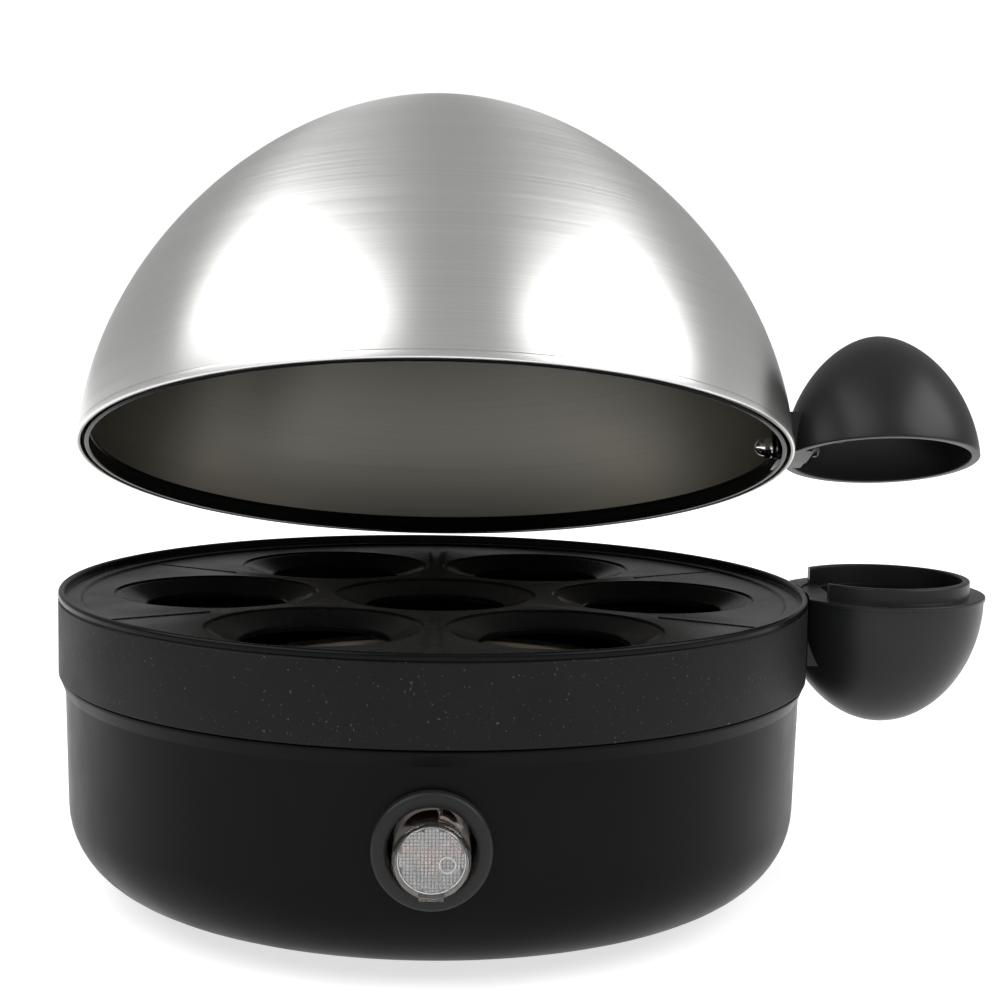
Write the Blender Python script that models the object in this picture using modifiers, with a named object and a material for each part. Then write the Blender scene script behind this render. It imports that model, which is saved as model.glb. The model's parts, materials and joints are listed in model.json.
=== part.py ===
"""Egg cooker for seven eggs, as an assembly of its separate pieces.

Metres, +Z up. The origin is the middle of the flat pad under the base. The power switch faces -Y,
the mains inlet faces +Y, and the egg-shaped side handle is at +X. The steel lid stands open at rest:
it is tipped back about the edge behind it, where it rests on the tray ring.
"""

import math

import bmesh
import bpy
from mathutils import Vector

MM = 0.001
GAP = 0.3 * MM  # clearance between pieces that touch
SEGMENTS = 48  # sides of the large turned pieces
SMALL_SEGMENTS = 20  # sides of the seats, handle and switch pieces
TINY_SEGMENTS = 12  # sides of screws, nuts and wires
SHARP_ANGLE = math.radians(35)
REACH = 6 * MM  # how far a cutter runs past the faces it cuts

# Base: a bowl with a flat bottom, a rounded lower edge and a chamfered shoulder under the tray ring
WALL = 2.2 * MM
FOOT_HEIGHT = 3.0 * MM
BOTTOM_Z = 0.8 * MM  # the bottom ring round the pad, which is at height 0
PAD_RADIUS = 45 * MM
FLAT_RADIUS = 71.2 * MM
EDGE_RADIUS = 20 * MM
SHOULDER_RADIUS = 92.3 * MM
RIM_RADIUS = 93.4 * MM
BASE_TOP_Z = 52.7 * MM
SHOULDER_HEIGHT = 3.6 * MM
FOOT_RADIUS = 6.5 * MM
FOOT_CIRCLE = 60 * MM
SCREW_CIRCLE = 62 * MM
CORNERS = 4  # feet and deck screws each stand on four corners

# Deck inside the base, and the heating plate that it carries
DECK_TOP_Z = 47 * MM
DECK_THICKNESS = 2.2 * MM
DECK_RADIUS = 88.6 * MM
DECK_OPENING = 57 * MM
PLATE_RADIUS = 60.5 * MM
PLATE_FLOOR_RADIUS = 50 * MM
PLATE_DEPTH = 6.8 * MM
PLATE_THICKNESS = 0.8 * MM
SEAL_THICKNESS = 1 * MM
ELEMENT_CIRCLE = 36 * MM
ELEMENT_RADIUS = 3.2 * MM
STUD_RADIUS = 2 * MM
STUD_END_Z = 26 * MM
STRAP_Z = 31 * MM
STRAP_THICKNESS = 1.2 * MM
STRAP_WIDTH = 12 * MM

# Egg tray: a plate with seven seats inside a collar
TRAY_RADIUS = 94 * MM
TRAY_WALL = 2.4 * MM
TRAY_HEIGHT = 18.9 * MM  # from the seam with the base up to the groove line
LIP_HEIGHT = 1.9 * MM
LIP_INNER_RADIUS = 92.3 * MM
LEDGE_WIDTH = 3.7 * MM
LEDGE_STEP = 0.7 * MM
FLOOR_THICKNESS = 1.8 * MM
SKIRT_DEPTH = 4.2 * MM
SKIRT_THICKNESS = 1.6 * MM
SEAT_CIRCLE = 55.5 * MM
SEAT_RADIUS = 25.5 * MM
SEAT_HOLE_RADIUS = 17.5 * MM
SEAT_STEP = 0.5 * MM
SEAT_DROP = 2.5 * MM
OUTER_SEATS = 6

# Lid: a steel dome with a black ring inside its rim
LID_RADIUS = 90.6 * MM
LID_HEIGHT = 95.2 * MM
LID_POWER = 1.78  # 2 is a round dome, less is more pointed
LID_THICKNESS = 0.65 * MM
BEAD_HEIGHT = 1.8 * MM
BEAD_DEPTH = 0.4 * MM
RING_HEIGHT = 4.5 * MM
RING_THICKNESS = 1.2 * MM
LID_TILT = math.radians(19.5)
HINGE_Y = 97 * MM

# Side handle: an egg in two halves, one on the lid and one on the tray ring
HANDLE_X = 114.2 * MM
HANDLE_WALL = 2.2 * MM
CUP_RADIUS = 26.2 * MM
CUP_DEPTH = 33.5 * MM
CUP_POWER = 1.95
CAP_RADIUS = 25.1 * MM
CAP_HEIGHT = 33 * MM
CAP_POWER = 1.8
CAP_LIFT = 1.7 * MM  # the upper half's rim stands this far above the lid's
LEDGE_Z = 73.3 * MM  # where the upper half would land on the cup
CUP_LIP_HEIGHT = 3.8 * MM
CUP_LIP_RADIUS = 22.2 * MM
CUP_LIP_CUT_X = 98 * MM
FIXING_HEIGHT = 5 * MM  # the lid handle's screw, above the lid's rim
TRAY_FIXING_Z = 63 * MM
TRAY_FIXING_Y = 8 * MM
TRAY_FIXING_RADIUS = 1.3 * MM
LID_FIXING_RADIUS = 1.5 * MM
PAD_FACE_X = 95 * MM
PAD_HEIGHT = 12 * MM
PAD_WIDTH = 18 * MM
BRACKET_SHELF_HEIGHT = 8.2 * MM
BRACKET_WIDTH = 16 * MM
BRACKET_THICKNESS = 1 * MM
BRACKET_LENGTH = 11 * MM
NUT_RADIUS = 3 * MM

# Push switch with a clear cap, on the front wall
SWITCH_Z = 31.3 * MM
BEZEL_RADIUS = 13 * MM
BEZEL_FRONT = 94.9 * MM  # distances along the switch's axis are from the cooker's own axis
BEZEL_HOLE = 9.6 * MM
BUSH_RADIUS = 10.7 * MM
BUTTON_RADIUS = 8.3 * MM
BUTTON_FRONT = 101.5 * MM
BUTTON_BACK = 86 * MM
PLUNGER_BACK = 71.5 * MM
SWITCH_FRONT = 78 * MM
SWITCH_BACK = 60 * MM
SWITCH_RADIUS = 12 * MM

# Wiring
INLET_Z = 30 * MM
INLET_RADIUS = 6 * MM
CORD_RADIUS = 3.5 * MM
WIRE_RADIUS = 1.2 * MM

RING_RADIUS = LID_RADIUS - BEAD_DEPTH - LID_THICKNESS - 3 * GAP
TRAY_BOTTOM_Z = BASE_TOP_Z + GAP
TRAY_LEDGE_Z = TRAY_BOTTOM_Z + TRAY_HEIGHT
LID_Z = TRAY_LEDGE_Z + GAP
PLATE_TOP_Z = DECK_TOP_Z + SEAL_THICKNESS + 2 * GAP + PLATE_THICKNESS
PLATE_UNDER_Z = PLATE_TOP_Z - PLATE_DEPTH - PLATE_THICKNESS


# ---- scene, materials and placing -------------------------------------------------------------


def clear_scene():
    for obj in list(bpy.data.objects):
        bpy.data.objects.remove(obj, do_unlink=True)


def new_collection(name):
    collection = bpy.data.collections.new(name)
    bpy.context.scene.collection.children.link(collection)
    return collection


def new_material(name, colour, roughness, metallic=0.0, transmission=0.0):
    material = bpy.data.materials.new(name)
    material.use_nodes = True
    shader = material.node_tree.nodes["Principled BSDF"]
    shader.inputs["Base Color"].default_value = (*colour, 1.0)
    shader.inputs["Roughness"].default_value = roughness
    shader.inputs["Metallic"].default_value = metallic
    shader.inputs["Transmission Weight"].default_value = transmission
    material.diffuse_color = (*colour, 1.0)
    return material


clear_scene()
PARTS = new_collection("egg_cooker")
CUTTERS = new_collection("egg_cooker_cutters")

BLACK = new_material("satin_black_plastic", (0.022, 0.022, 0.023), 0.38)
MATT_BLACK = new_material("matt_black_plastic", (0.030, 0.030, 0.031), 0.55)
STEEL = new_material("brushed_steel", (0.62, 0.62, 0.60), 0.32, metallic=1.0)
BRIGHT = new_material("bright_metal", (0.75, 0.75, 0.75), 0.12, metallic=1.0)
ALUMINIUM = new_material("aluminium", (0.70, 0.71, 0.72), 0.45, metallic=1.0)
RUBBER = new_material("black_rubber", (0.025, 0.025, 0.025), 0.80)
SILICONE = new_material("grey_silicone", (0.35, 0.35, 0.34), 0.60)
CLEAR = new_material("clear_plastic", (0.92, 0.93, 0.94), 0.10, transmission=0.9)
NEON = new_material("neon_lamp", (0.95, 0.40, 0.18), 0.15, transmission=0.4)
NYLON = new_material("white_nylon", (0.80, 0.79, 0.74), 0.50)
BROWN = new_material("brown_wire", (0.20, 0.09, 0.04), 0.50)
BLUE = new_material("blue_wire", (0.04, 0.10, 0.35), 0.50)


def add_part(obj, name, material, parent=None):
    """Names the piece, gives it its material and puts it on its parent's axis."""
    obj.name = name
    obj.data.name = name
    obj.data.materials.clear()
    obj.data.materials.append(material)
    for collection in list(obj.users_collection):
        collection.objects.unlink(obj)
    PARTS.objects.link(obj)
    if parent is not None:
        obj.parent = parent
    return obj


def add_cutter(obj, name, parent=None):
    """Puts a helper solid among the cutters, where it neither renders nor becomes a piece."""
    obj.name = name
    obj.hide_render = True
    obj.display_type = "WIRE"
    for collection in list(obj.users_collection):
        collection.objects.unlink(obj)
    CUTTERS.objects.link(obj)
    if parent is not None:
        obj.parent = parent
    return obj


def add_axis(name, location, rotation=(0.0, 0.0, 0.0)):
    empty = bpy.data.objects.new(name, None)
    empty.empty_display_size = 0.02
    empty.location = location
    empty.rotation_euler = rotation
    PARTS.objects.link(empty)
    return empty


# ---- shapes -----------------------------------------------------------------------------------


def turned(profile, steps=SEGMENTS):
    """Turns (radius, height) points about local Z. A profile that starts off the axis is closed.

    The points run down the outer side. Where a profile has an inner side, it runs up that one.
    """
    mesh = bpy.data.meshes.new("turned")
    points = [(radius, 0.0, height) for radius, height in profile]
    edges = [(i, i + 1) for i in range(len(points) - 1)]
    if profile[0][0] > 0:
        edges.append((len(points) - 1, 0))
    mesh.from_pydata(points, edges, [])
    obj = bpy.data.objects.new("turned", mesh)
    screw = obj.modifiers.new("Turn", "SCREW")
    screw.steps = steps
    screw.render_steps = steps
    screw.use_merge_vertices = True
    screw.merge_threshold = 0.00001
    return obj


def cylinder(radius, low, high, steps=SMALL_SEGMENTS):
    return turned([(0, high), (radius, high), (radius, low), (0, low)], steps)


def box(low, high, rounding=0.0):
    """An upright box between two corners, its edges rounded by a Bevel if asked."""
    mesh = bpy.data.meshes.new("box")
    form = bmesh.new()
    bmesh.ops.create_cube(form, size=1.0)
    low, high = Vector(low), Vector(high)
    bmesh.ops.scale(form, vec=high - low, verts=form.verts)
    bmesh.ops.translate(form, vec=(low + high) / 2, verts=form.verts)
    form.to_mesh(mesh)
    form.free()
    obj = bpy.data.objects.new("box", mesh)
    if rounding:
        bevel = obj.modifiers.new("Round", "BEVEL")
        bevel.width = rounding
        bevel.segments = 2
    return obj


def arc(centre, radius, start, end, count):
    """(radius, height) points along an arc, with its angles in degrees from straight out."""
    points = []
    for i in range(count + 1):
        angle = math.radians(start + (end - start) * i / count)
        points.append((centre[0] + radius * math.cos(angle), centre[1] + radius * math.sin(angle)))
    return points


def dome(radius, height, power, count, base=0.0):
    """Points from a dome's top down to its rim, where (r/radius)^power + (z/height)^power = 1."""
    points = []
    for i in range(count + 1):
        angle = math.pi / 2 * i / count
        across = radius * math.sin(angle) ** (2 / power)
        up = height * max(math.cos(angle), 0.0) ** (2 / power)
        points.append((across, base + up))
    points[-1] = (radius, base)
    return points


def bowl(radius, depth, power, count, base=0.0):
    """Points from the rim of a hanging bowl down to its lowest point, on the axis."""
    return [(across, 2 * base - up) for across, up in reversed(dome(radius, depth, power, count, base))]


def wire(points, radius, roundness=2):
    """A round rod along a list of points, as a mesh with its caps welded on."""
    curve = bpy.data.curves.new("wire", "CURVE")
    curve.dimensions = "3D"
    curve.bevel_depth = radius
    curve.bevel_resolution = roundness
    curve.use_fill_caps = True
    spline = curve.splines.new("POLY")
    spline.points.add(len(points) - 1)
    for place, point in zip(spline.points, points):
        place.co = (*point, 1.0)
    guide = bpy.data.objects.new("wire", curve)
    CUTTERS.objects.link(guide)
    graph = bpy.context.evaluated_depsgraph_get()
    mesh = bpy.data.meshes.new_from_object(guide.evaluated_get(graph))
    bpy.data.objects.remove(guide, do_unlink=True)
    form = bmesh.new()
    form.from_mesh(mesh)
    bmesh.ops.remove_doubles(form, verts=form.verts, dist=0.00001)
    form.to_mesh(mesh)
    form.free()
    return bpy.data.objects.new("wire", mesh)


def smooth_route(knots, count):
    """Points evenly spread in parameter along a Catmull-Rom curve through the knots."""
    ends = [2 * Vector(knots[0]) - Vector(knots[1]), 2 * Vector(knots[-1]) - Vector(knots[-2])]
    held = [ends[0], *(Vector(knot) for knot in knots), ends[1]]
    route = []
    for i in range(count + 1):
        place = (len(knots) - 1) * i / count
        span = min(int(place), len(knots) - 2)
        t = place - span
        a, b, c, d = held[span : span + 4]
        square = (2 * a - 5 * b + 4 * c - d) * t**2
        cube = (3 * b - a - 3 * c + d) * t**3
        route.append((2 * b + (c - a) * t + square + cube) / 2)
    return route


def combine(obj, other, operation):
    boolean = obj.modifiers.new(operation.title(), "BOOLEAN")
    boolean.operation = operation
    boolean.object = other


def cut(obj, other):
    combine(obj, other, "DIFFERENCE")


def join(obj, other):
    combine(obj, other, "UNION")


def around(count, radius, start=0.0):
    """Places evenly spread round the main axis, the first at an angle in degrees from +X."""
    places = []
    for i in range(count):
        angle = math.radians(start + 360 * i / count)
        places.append((radius * math.cos(angle), radius * math.sin(angle)))
    return places


# ---- base -------------------------------------------------------------------------------------


def wall_radius(height):
    """The base's outside radius on its drafted wall, between the rounded edge and the shoulder."""
    low = BOTTOM_Z + EDGE_RADIUS
    high = BASE_TOP_Z - SHOULDER_HEIGHT
    share = (height - low) / (high - low)
    return FLAT_RADIUS + EDGE_RADIUS + share * (SHOULDER_RADIUS - FLAT_RADIUS - EDGE_RADIUS)


def make_base_shell():
    edge_centre = (FLAT_RADIUS, BOTTOM_Z + EDGE_RADIUS)
    shoulder_z = BASE_TOP_Z - SHOULDER_HEIGHT
    inside = arc(edge_centre, EDGE_RADIUS - WALL, -90, 0, 4)
    outside = arc(edge_centre, EDGE_RADIUS, 0, -90, 6)
    chamfer = 0.6 * MM
    profile = [
        (0, BOTTOM_Z + WALL),
        *inside,
        (SHOULDER_RADIUS - WALL, shoulder_z),
        (RIM_RADIUS - WALL, shoulder_z + SHOULDER_HEIGHT / 2),
        (RIM_RADIUS - WALL, BASE_TOP_Z),
        (RIM_RADIUS - chamfer / 2, BASE_TOP_Z),
        (RIM_RADIUS, BASE_TOP_Z - chamfer / 2),
        (RIM_RADIUS, BASE_TOP_Z - chamfer),
        (SHOULDER_RADIUS, shoulder_z),
        *outside,
        (PAD_RADIUS, BOTTOM_Z),
        (PAD_RADIUS, 0),
        (0, 0),
    ]
    shell = add_part(turned(profile), "base_shell", MATT_BLACK)

    boss_top = 6 * MM
    head_pocket = 3.3 * MM
    for i, (x, y) in enumerate(around(CORNERS, SCREW_CIRCLE, 45)):
        boss = add_cutter(cylinder(6 * MM, 2 * MM, boss_top, TINY_SEGMENTS), f"screw_boss_{i}")
        hole = [
            (0, boss_top + REACH),
            (1.9 * MM, boss_top + REACH),
            (1.9 * MM, head_pocket),
            (3.8 * MM, head_pocket),
            (3.8 * MM, -REACH),
            (0, -REACH),
        ]
        pocket = add_cutter(turned(hole, TINY_SEGMENTS), f"screw_pocket_{i}")
        boss.location = pocket.location = (x, y, 0)
        join(shell, boss)
        cut(shell, pocket)

    reach_in = 70 * MM
    reach_out = 110 * MM
    switch_hole = add_cutter(cylinder(BUSH_RADIUS + GAP, reach_in, reach_out), "switch_hole", SWITCH_AXIS)
    inlet_hole = add_cutter(cylinder(INLET_RADIUS + GAP, reach_in, reach_out), "inlet_hole", INLET_AXIS)
    cut(shell, switch_hole)
    cut(shell, inlet_hole)


def make_feet():
    low = BOTTOM_Z - FOOT_HEIGHT
    high = BOTTOM_Z - GAP
    profile = [
        (0, high),
        (FOOT_RADIUS, high),
        (FOOT_RADIUS, low + 0.8 * MM),
        (FOOT_RADIUS - 0.8 * MM, low),
        (0, low),
    ]
    for i, (x, y) in enumerate(around(CORNERS, FOOT_CIRCLE)):
        foot = add_part(turned(profile, 16), f"foot_{i + 1}", RUBBER)
        foot.location = (x, y, 0)


def make_deck():
    """The top of the base: a ring that carries the heating plate, on four hollow legs."""
    under = DECK_TOP_Z - DECK_THICKNESS
    profile = [
        (DECK_RADIUS, DECK_TOP_Z),
        (DECK_RADIUS, under),
        (DECK_OPENING, under),
        (DECK_OPENING, DECK_TOP_Z),
    ]
    deck = add_part(turned(profile), "base_deck", BLACK)
    leg_foot = 6.3 * MM
    pilot_top = 18 * MM
    for i, (x, y) in enumerate(around(CORNERS, SCREW_CIRCLE, 45)):
        leg = add_cutter(cylinder(4 * MM, leg_foot, DECK_TOP_Z - MM, TINY_SEGMENTS), f"deck_leg_{i}")
        pilot = add_cutter(cylinder(1.8 * MM, leg_foot - REACH, pilot_top, TINY_SEGMENTS), f"deck_pilot_{i}")
        leg.location = pilot.location = (x, y, 0)
        join(deck, leg)
        cut(deck, pilot)

        profile = [
            (0, 16 * MM),
            (0.8 * MM, 16 * MM),
            (1.5 * MM, 14 * MM),
            (1.5 * MM, 3 * MM),
            (3.3 * MM, 3 * MM),
            (3.3 * MM, 1.6 * MM),
            (2.6 * MM, 1.1 * MM),
            (0, 1.1 * MM),
        ]
        screw = add_part(turned(profile, TINY_SEGMENTS), f"deck_screw_{i + 1}", BRIGHT)
        screw.location = (x, y, 0)


def make_heating_plate():
    """A pressed dish for the water, with a stud under its middle, on a seal in the deck's opening."""
    flange_under = PLATE_TOP_Z - PLATE_THICKNESS
    floor_z = PLATE_TOP_Z - PLATE_DEPTH
    slope = 3 * MM
    profile = [
        (0, floor_z),
        (PLATE_FLOOR_RADIUS, floor_z),
        (PLATE_FLOOR_RADIUS + slope, PLATE_TOP_Z - 1.2 * MM),
        (PLATE_FLOOR_RADIUS + slope + 1.2 * MM, PLATE_TOP_Z),
        (PLATE_RADIUS, PLATE_TOP_Z),
        (PLATE_RADIUS, flange_under),
        (PLATE_FLOOR_RADIUS + slope + 1.8 * MM, flange_under),
        (PLATE_FLOOR_RADIUS + slope + 0.8 * MM, PLATE_TOP_Z - 2 * MM),
        (PLATE_FLOOR_RADIUS + 0.6 * MM, PLATE_UNDER_Z),
        (STUD_RADIUS, PLATE_UNDER_Z),
        (STUD_RADIUS, STUD_END_Z),
        (0, STUD_END_Z),
    ]
    add_part(turned(profile), "heating_plate", STEEL)

    seal = [
        (PLATE_RADIUS, DECK_TOP_Z + GAP + SEAL_THICKNESS),
        (PLATE_RADIUS, DECK_TOP_Z + GAP),
        (DECK_OPENING, DECK_TOP_Z + GAP),
        (DECK_OPENING, DECK_TOP_Z + GAP + SEAL_THICKNESS),
    ]
    add_part(turned(seal), "plate_seal", SILICONE)


def make_plate_bracket():
    """A sprung steel strap that a nut on the stud pulls up under the deck."""
    thickness = STRAP_THICKNESS
    low = STRAP_Z
    end_x = 63 * MM
    bend_x = 54 * MM
    deck_under = DECK_TOP_Z - DECK_THICKNESS - GAP
    outline = [
        (-end_x, deck_under),
        (-end_x, deck_under - thickness),
        (-bend_x - 2 * thickness, deck_under - thickness),
        (-bend_x, low),
        (bend_x, low),
        (bend_x + 2 * thickness, deck_under - thickness),
        (end_x, deck_under - thickness),
        (end_x, deck_under),
        (bend_x + thickness, deck_under),
        (bend_x - thickness, low + thickness),
        (-bend_x + thickness, low + thickness),
        (-bend_x - thickness, deck_under),
    ]
    curve = bpy.data.curves.new("outline", "CURVE")
    curve.dimensions = "2D"
    curve.fill_mode = "BOTH"
    curve.extrude = STRAP_WIDTH / 2
    spline = curve.splines.new("POLY")
    spline.points.add(len(outline) - 1)
    for place, (x, z) in zip(spline.points, outline):
        place.co = (x, z, 0.0, 1.0)
    spline.use_cyclic_u = True
    guide = bpy.data.objects.new("outline", curve)
    CUTTERS.objects.link(guide)
    guide.rotation_euler.x = math.pi / 2
    graph = bpy.context.evaluated_depsgraph_get()
    mesh = bpy.data.meshes.new_from_object(guide.evaluated_get(graph))
    form = bmesh.new()
    form.from_mesh(mesh)
    bmesh.ops.remove_doubles(form, verts=form.verts, dist=0.00001)
    form.to_mesh(mesh)
    form.free()
    strap = bpy.data.objects.new("outline", mesh)
    strap.matrix_world = guide.matrix_world.copy()
    bpy.data.objects.remove(guide, do_unlink=True)
    add_part(strap, "plate_bracket", ALUMINIUM)
    hole = add_cutter(cylinder(STUD_RADIUS + GAP, low - REACH, low + REACH, TINY_SEGMENTS), "stud_hole")
    cut(strap, hole)

    nut_top = low - GAP
    nut = add_part(cylinder(4 * MM, nut_top - 3 * MM, nut_top, 6), "bracket_nut", BRIGHT)
    nut_hole = cylinder(STUD_RADIUS + GAP, nut_top - REACH, nut_top + REACH, TINY_SEGMENTS)
    cut(nut, add_cutter(nut_hole, "nut_hole"))


def make_thermostat():
    """A round bimetal thermostat under the plate, and the clip that presses it there."""
    clip_z = STRAP_Z + STRAP_THICKNESS + GAP
    clip_top = clip_z + 0.8 * MM
    centre_y = 20 * MM
    half = 5 * MM
    clip = box((-half, -half, clip_z), (half, centre_y + 6 * MM, clip_top))
    add_part(clip, "thermostat_clip", ALUMINIUM)
    stud_slot = cylinder(STUD_RADIUS + GAP, clip_z - REACH, clip_top + REACH, TINY_SEGMENTS)
    cut(clip, add_cutter(stud_slot, "clip_hole"))

    low = clip_top + GAP
    high = PLATE_UNDER_Z - GAP
    cap_radius = 7 * MM
    body_radius = 8 * MM
    cap_height = 2.5 * MM
    profile = [
        (0, high),
        (cap_radius, high),
        (cap_radius, high - cap_height),
        (body_radius, high - cap_height),
        (body_radius, low + MM),
        (cap_radius, low),
        (0, low),
    ]
    thermostat = add_part(turned(profile, 16), "thermostat", NYLON)
    thermostat.location.y = centre_y

    fuse_radius = 2 * MM
    fuse_half = 9 * MM
    fuse_z = high - fuse_radius - 0.2 * MM
    ends = [(-fuse_half, -centre_y, fuse_z), (fuse_half, -centre_y, fuse_z)]
    add_part(wire(ends, fuse_radius, 3), "thermal_fuse", ALUMINIUM)


def make_heating_element():
    """A tubular element bent to an open ring under the plate, its two ends turned down."""
    centre_z = PLATE_UNDER_Z - GAP - ELEMENT_RADIUS
    open_angle = 24
    count = 28
    points = []
    for i in range(count + 1):
        angle = math.radians(270 + open_angle + (360 - 2 * open_angle) * i / count)
        points.append((ELEMENT_CIRCLE * math.cos(angle), ELEMENT_CIRCLE * math.sin(angle), centre_z))
    drop = 11 * MM
    first, last = points[0], points[-1]
    bend = 2.5 * MM
    start_x = first[0] - 2 * bend
    start = [
        (start_x, first[1] - bend, centre_z - drop),
        (start_x, first[1] - bend / 2, centre_z - bend),
    ]
    end_x = last[0] + 2 * bend
    end = [
        (end_x, last[1] - bend / 2, centre_z - bend),
        (end_x, last[1] - bend, centre_z - drop),
    ]
    add_part(wire([*start, *points, *end], ELEMENT_RADIUS), "heating_element", ALUMINIUM)


# ---- switch and wiring ------------------------------------------------------------------------


def make_switch():
    """A panel switch: a bush with a flange, a body behind it, and a lamp on a post inside the cap."""
    bush_back = SWITCH_FRONT + GAP
    flange_back = 90 * MM
    rounding = 0.7 * MM
    profile = [
        (BEZEL_RADIUS - rounding, BEZEL_FRONT),
        (BEZEL_RADIUS, BEZEL_FRONT - rounding),
        (BEZEL_RADIUS, flange_back),
        (BUSH_RADIUS, flange_back),
        (BUSH_RADIUS, bush_back),
        (BEZEL_HOLE, bush_back),
        (BEZEL_HOLE, BEZEL_FRONT - rounding),
        (BEZEL_HOLE + rounding, BEZEL_FRONT),
    ]
    bezel = add_part(turned(profile), "switch_bezel", BLACK, SWITCH_AXIS)
    low, high = 12 * MM, 48 * MM
    wall_band = [
        (wall_radius(high) + GAP, high),
        (wall_radius(low) + GAP, low),
        (85 * MM, low),
        (85 * MM, high),
    ]
    band = add_cutter(turned(wall_band), "wall_band")
    bush_room = add_cutter(cylinder(BUSH_RADIUS + GAP / 4, 70 * MM, 110 * MM), "bush_room", SWITCH_AXIS)
    cut(band, bush_room)
    cut(bezel, band)

    bore = 6.9 * MM
    bore_bottom = 64 * MM
    post_radius = 3.4 * MM
    post_front = 87.5 * MM
    profile = [
        (0, post_front),
        (post_radius, post_front),
        (post_radius, bore_bottom),
        (bore, bore_bottom),
        (bore, SWITCH_FRONT),
        (SWITCH_RADIUS, SWITCH_FRONT),
        (SWITCH_RADIUS, SWITCH_BACK),
        (0, SWITCH_BACK),
    ]
    add_part(turned(profile, SMALL_SEGMENTS), "switch_body", BLACK, SWITCH_AXIS)

    lamp_radius = 2.6 * MM
    lamp_back = post_front + GAP
    lamp_top = dome(lamp_radius, 2.2 * MM, 2, 3, lamp_back + 5.5 * MM)
    lamp = [*lamp_top, (lamp_radius, lamp_back), (0, lamp_back)]
    add_part(turned(lamp, TINY_SEGMENTS), "neon_lamp", NEON, SWITCH_AXIS)

    turns, spring_radius, spring_wire = 3, 5.6 * MM, 0.35 * MM
    start = bore_bottom + GAP + spring_wire
    end = PLUNGER_BACK - GAP - spring_wire
    sides = 12
    points = []
    for i in range(turns * sides + 1):
        angle = 2 * math.pi * i / sides
        along = start + (end - start) * i / (turns * sides)
        points.append((spring_radius * math.cos(angle), spring_radius * math.sin(angle), along))
    add_part(wire(points, spring_wire, 1), "switch_spring", BRIGHT, SWITCH_AXIS)


def make_button():
    """The clear cap and the hollow plunger that carries it."""
    cap_wall = 1.3 * MM
    rounding = 0.8 * MM
    profile = [
        (0, BUTTON_FRONT),
        (BUTTON_RADIUS - rounding, BUTTON_FRONT),
        (BUTTON_RADIUS, BUTTON_FRONT - rounding),
        (BUTTON_RADIUS, BUTTON_BACK),
        (BUTTON_RADIUS - cap_wall, BUTTON_BACK),
        (BUTTON_RADIUS - cap_wall, BUTTON_FRONT - cap_wall),
        (0, BUTTON_FRONT - cap_wall),
    ]
    add_part(turned(profile, SMALL_SEGMENTS), "button_cap", CLEAR, SWITCH_AXIS)

    flange_front = BUTTON_BACK - GAP
    flange_back = flange_front - 1.4 * MM
    tube, hollow = 6.5 * MM, 4.5 * MM
    profile = [
        (BUTTON_RADIUS, flange_front),
        (BUTTON_RADIUS, flange_back),
        (tube, flange_back),
        (tube, PLUNGER_BACK),
        (hollow, PLUNGER_BACK),
        (hollow, flange_front),
    ]
    add_part(turned(profile, SMALL_SEGMENTS), "button_plunger", NYLON, SWITCH_AXIS)


def make_wiring():
    """The inlet's gland, the terminal block and the wires inside the base."""
    flange_radius = INLET_RADIUS + 2 * MM
    wall = wall_radius(INLET_Z)
    profile = [
        (flange_radius, wall + 2 * MM),
        (flange_radius, wall + GAP),
        (INLET_RADIUS, wall + GAP),
        (INLET_RADIUS, wall - 12 * MM),
        (CORD_RADIUS, wall - 12 * MM),
        (CORD_RADIUS, wall + 2 * MM),
    ]
    add_part(turned(profile, SMALL_SEGMENTS), "cord_gland", RUBBER, INLET_AXIS)

    floor_z = BOTTOM_Z + WALL + GAP
    block_y, block_high = 40 * MM, floor_z + 11 * MM
    block = box((-14 * MM, block_y, floor_z), (14 * MM, block_y + 12 * MM, block_high), 0.8 * MM)
    add_part(block, "terminal_block", NYLON)

    wire_z = floor_z + 5.5 * MM
    front_y = block_y - GAP
    back = SWITCH_BACK - 3 * GAP
    live = [
        (-9 * MM, front_y, wire_z),
        (-14 * MM, 22 * MM, wire_z),
        (-20 * MM, -12 * MM, 12 * MM),
        (-10 * MM, -40 * MM, 22 * MM),
        (-7 * MM, -back, SWITCH_Z - 4 * MM),
    ]
    lamp = [
        (9 * MM, front_y, wire_z),
        (14 * MM, 22 * MM, wire_z),
        (22 * MM, -12 * MM, 12 * MM),
        (12 * MM, -40 * MM, 22 * MM),
        (7 * MM, -back, SWITCH_Z - 4 * MM),
    ]
    load = [
        (0, -back, SWITCH_Z + 5 * MM),
        (-6 * MM, -52 * MM, 34 * MM),
        (-22 * MM, -40 * MM, 28 * MM),
        (-20 * MM, -22 * MM, 33 * MM),
        (-14 * MM, -20 * MM, PLATE_UNDER_Z - 2.5 * MM),
        (-9 * MM - 2 * GAP, -20 * MM, PLATE_UNDER_Z - 2.5 * MM),
    ]
    neutral = [
        (0, front_y, wire_z),
        (0, 22 * MM, wire_z),
        (4 * MM, -6 * MM, 11 * MM),
        (9.6 * MM, -30 * MM, 16 * MM),
        (9.6 * MM, -35.5 * MM, 27 * MM - GAP),
    ]
    count = 14
    add_part(wire(smooth_route(live, count), WIRE_RADIUS), "wire_live", BROWN)
    add_part(wire(smooth_route(lamp, count), WIRE_RADIUS), "wire_lamp", BLUE)
    add_part(wire(smooth_route(load, count), WIRE_RADIUS), "wire_load", BROWN)
    add_part(wire(smooth_route(neutral, count), WIRE_RADIUS), "wire_neutral", BLUE)


# ---- egg tray ---------------------------------------------------------------------------------


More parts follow.
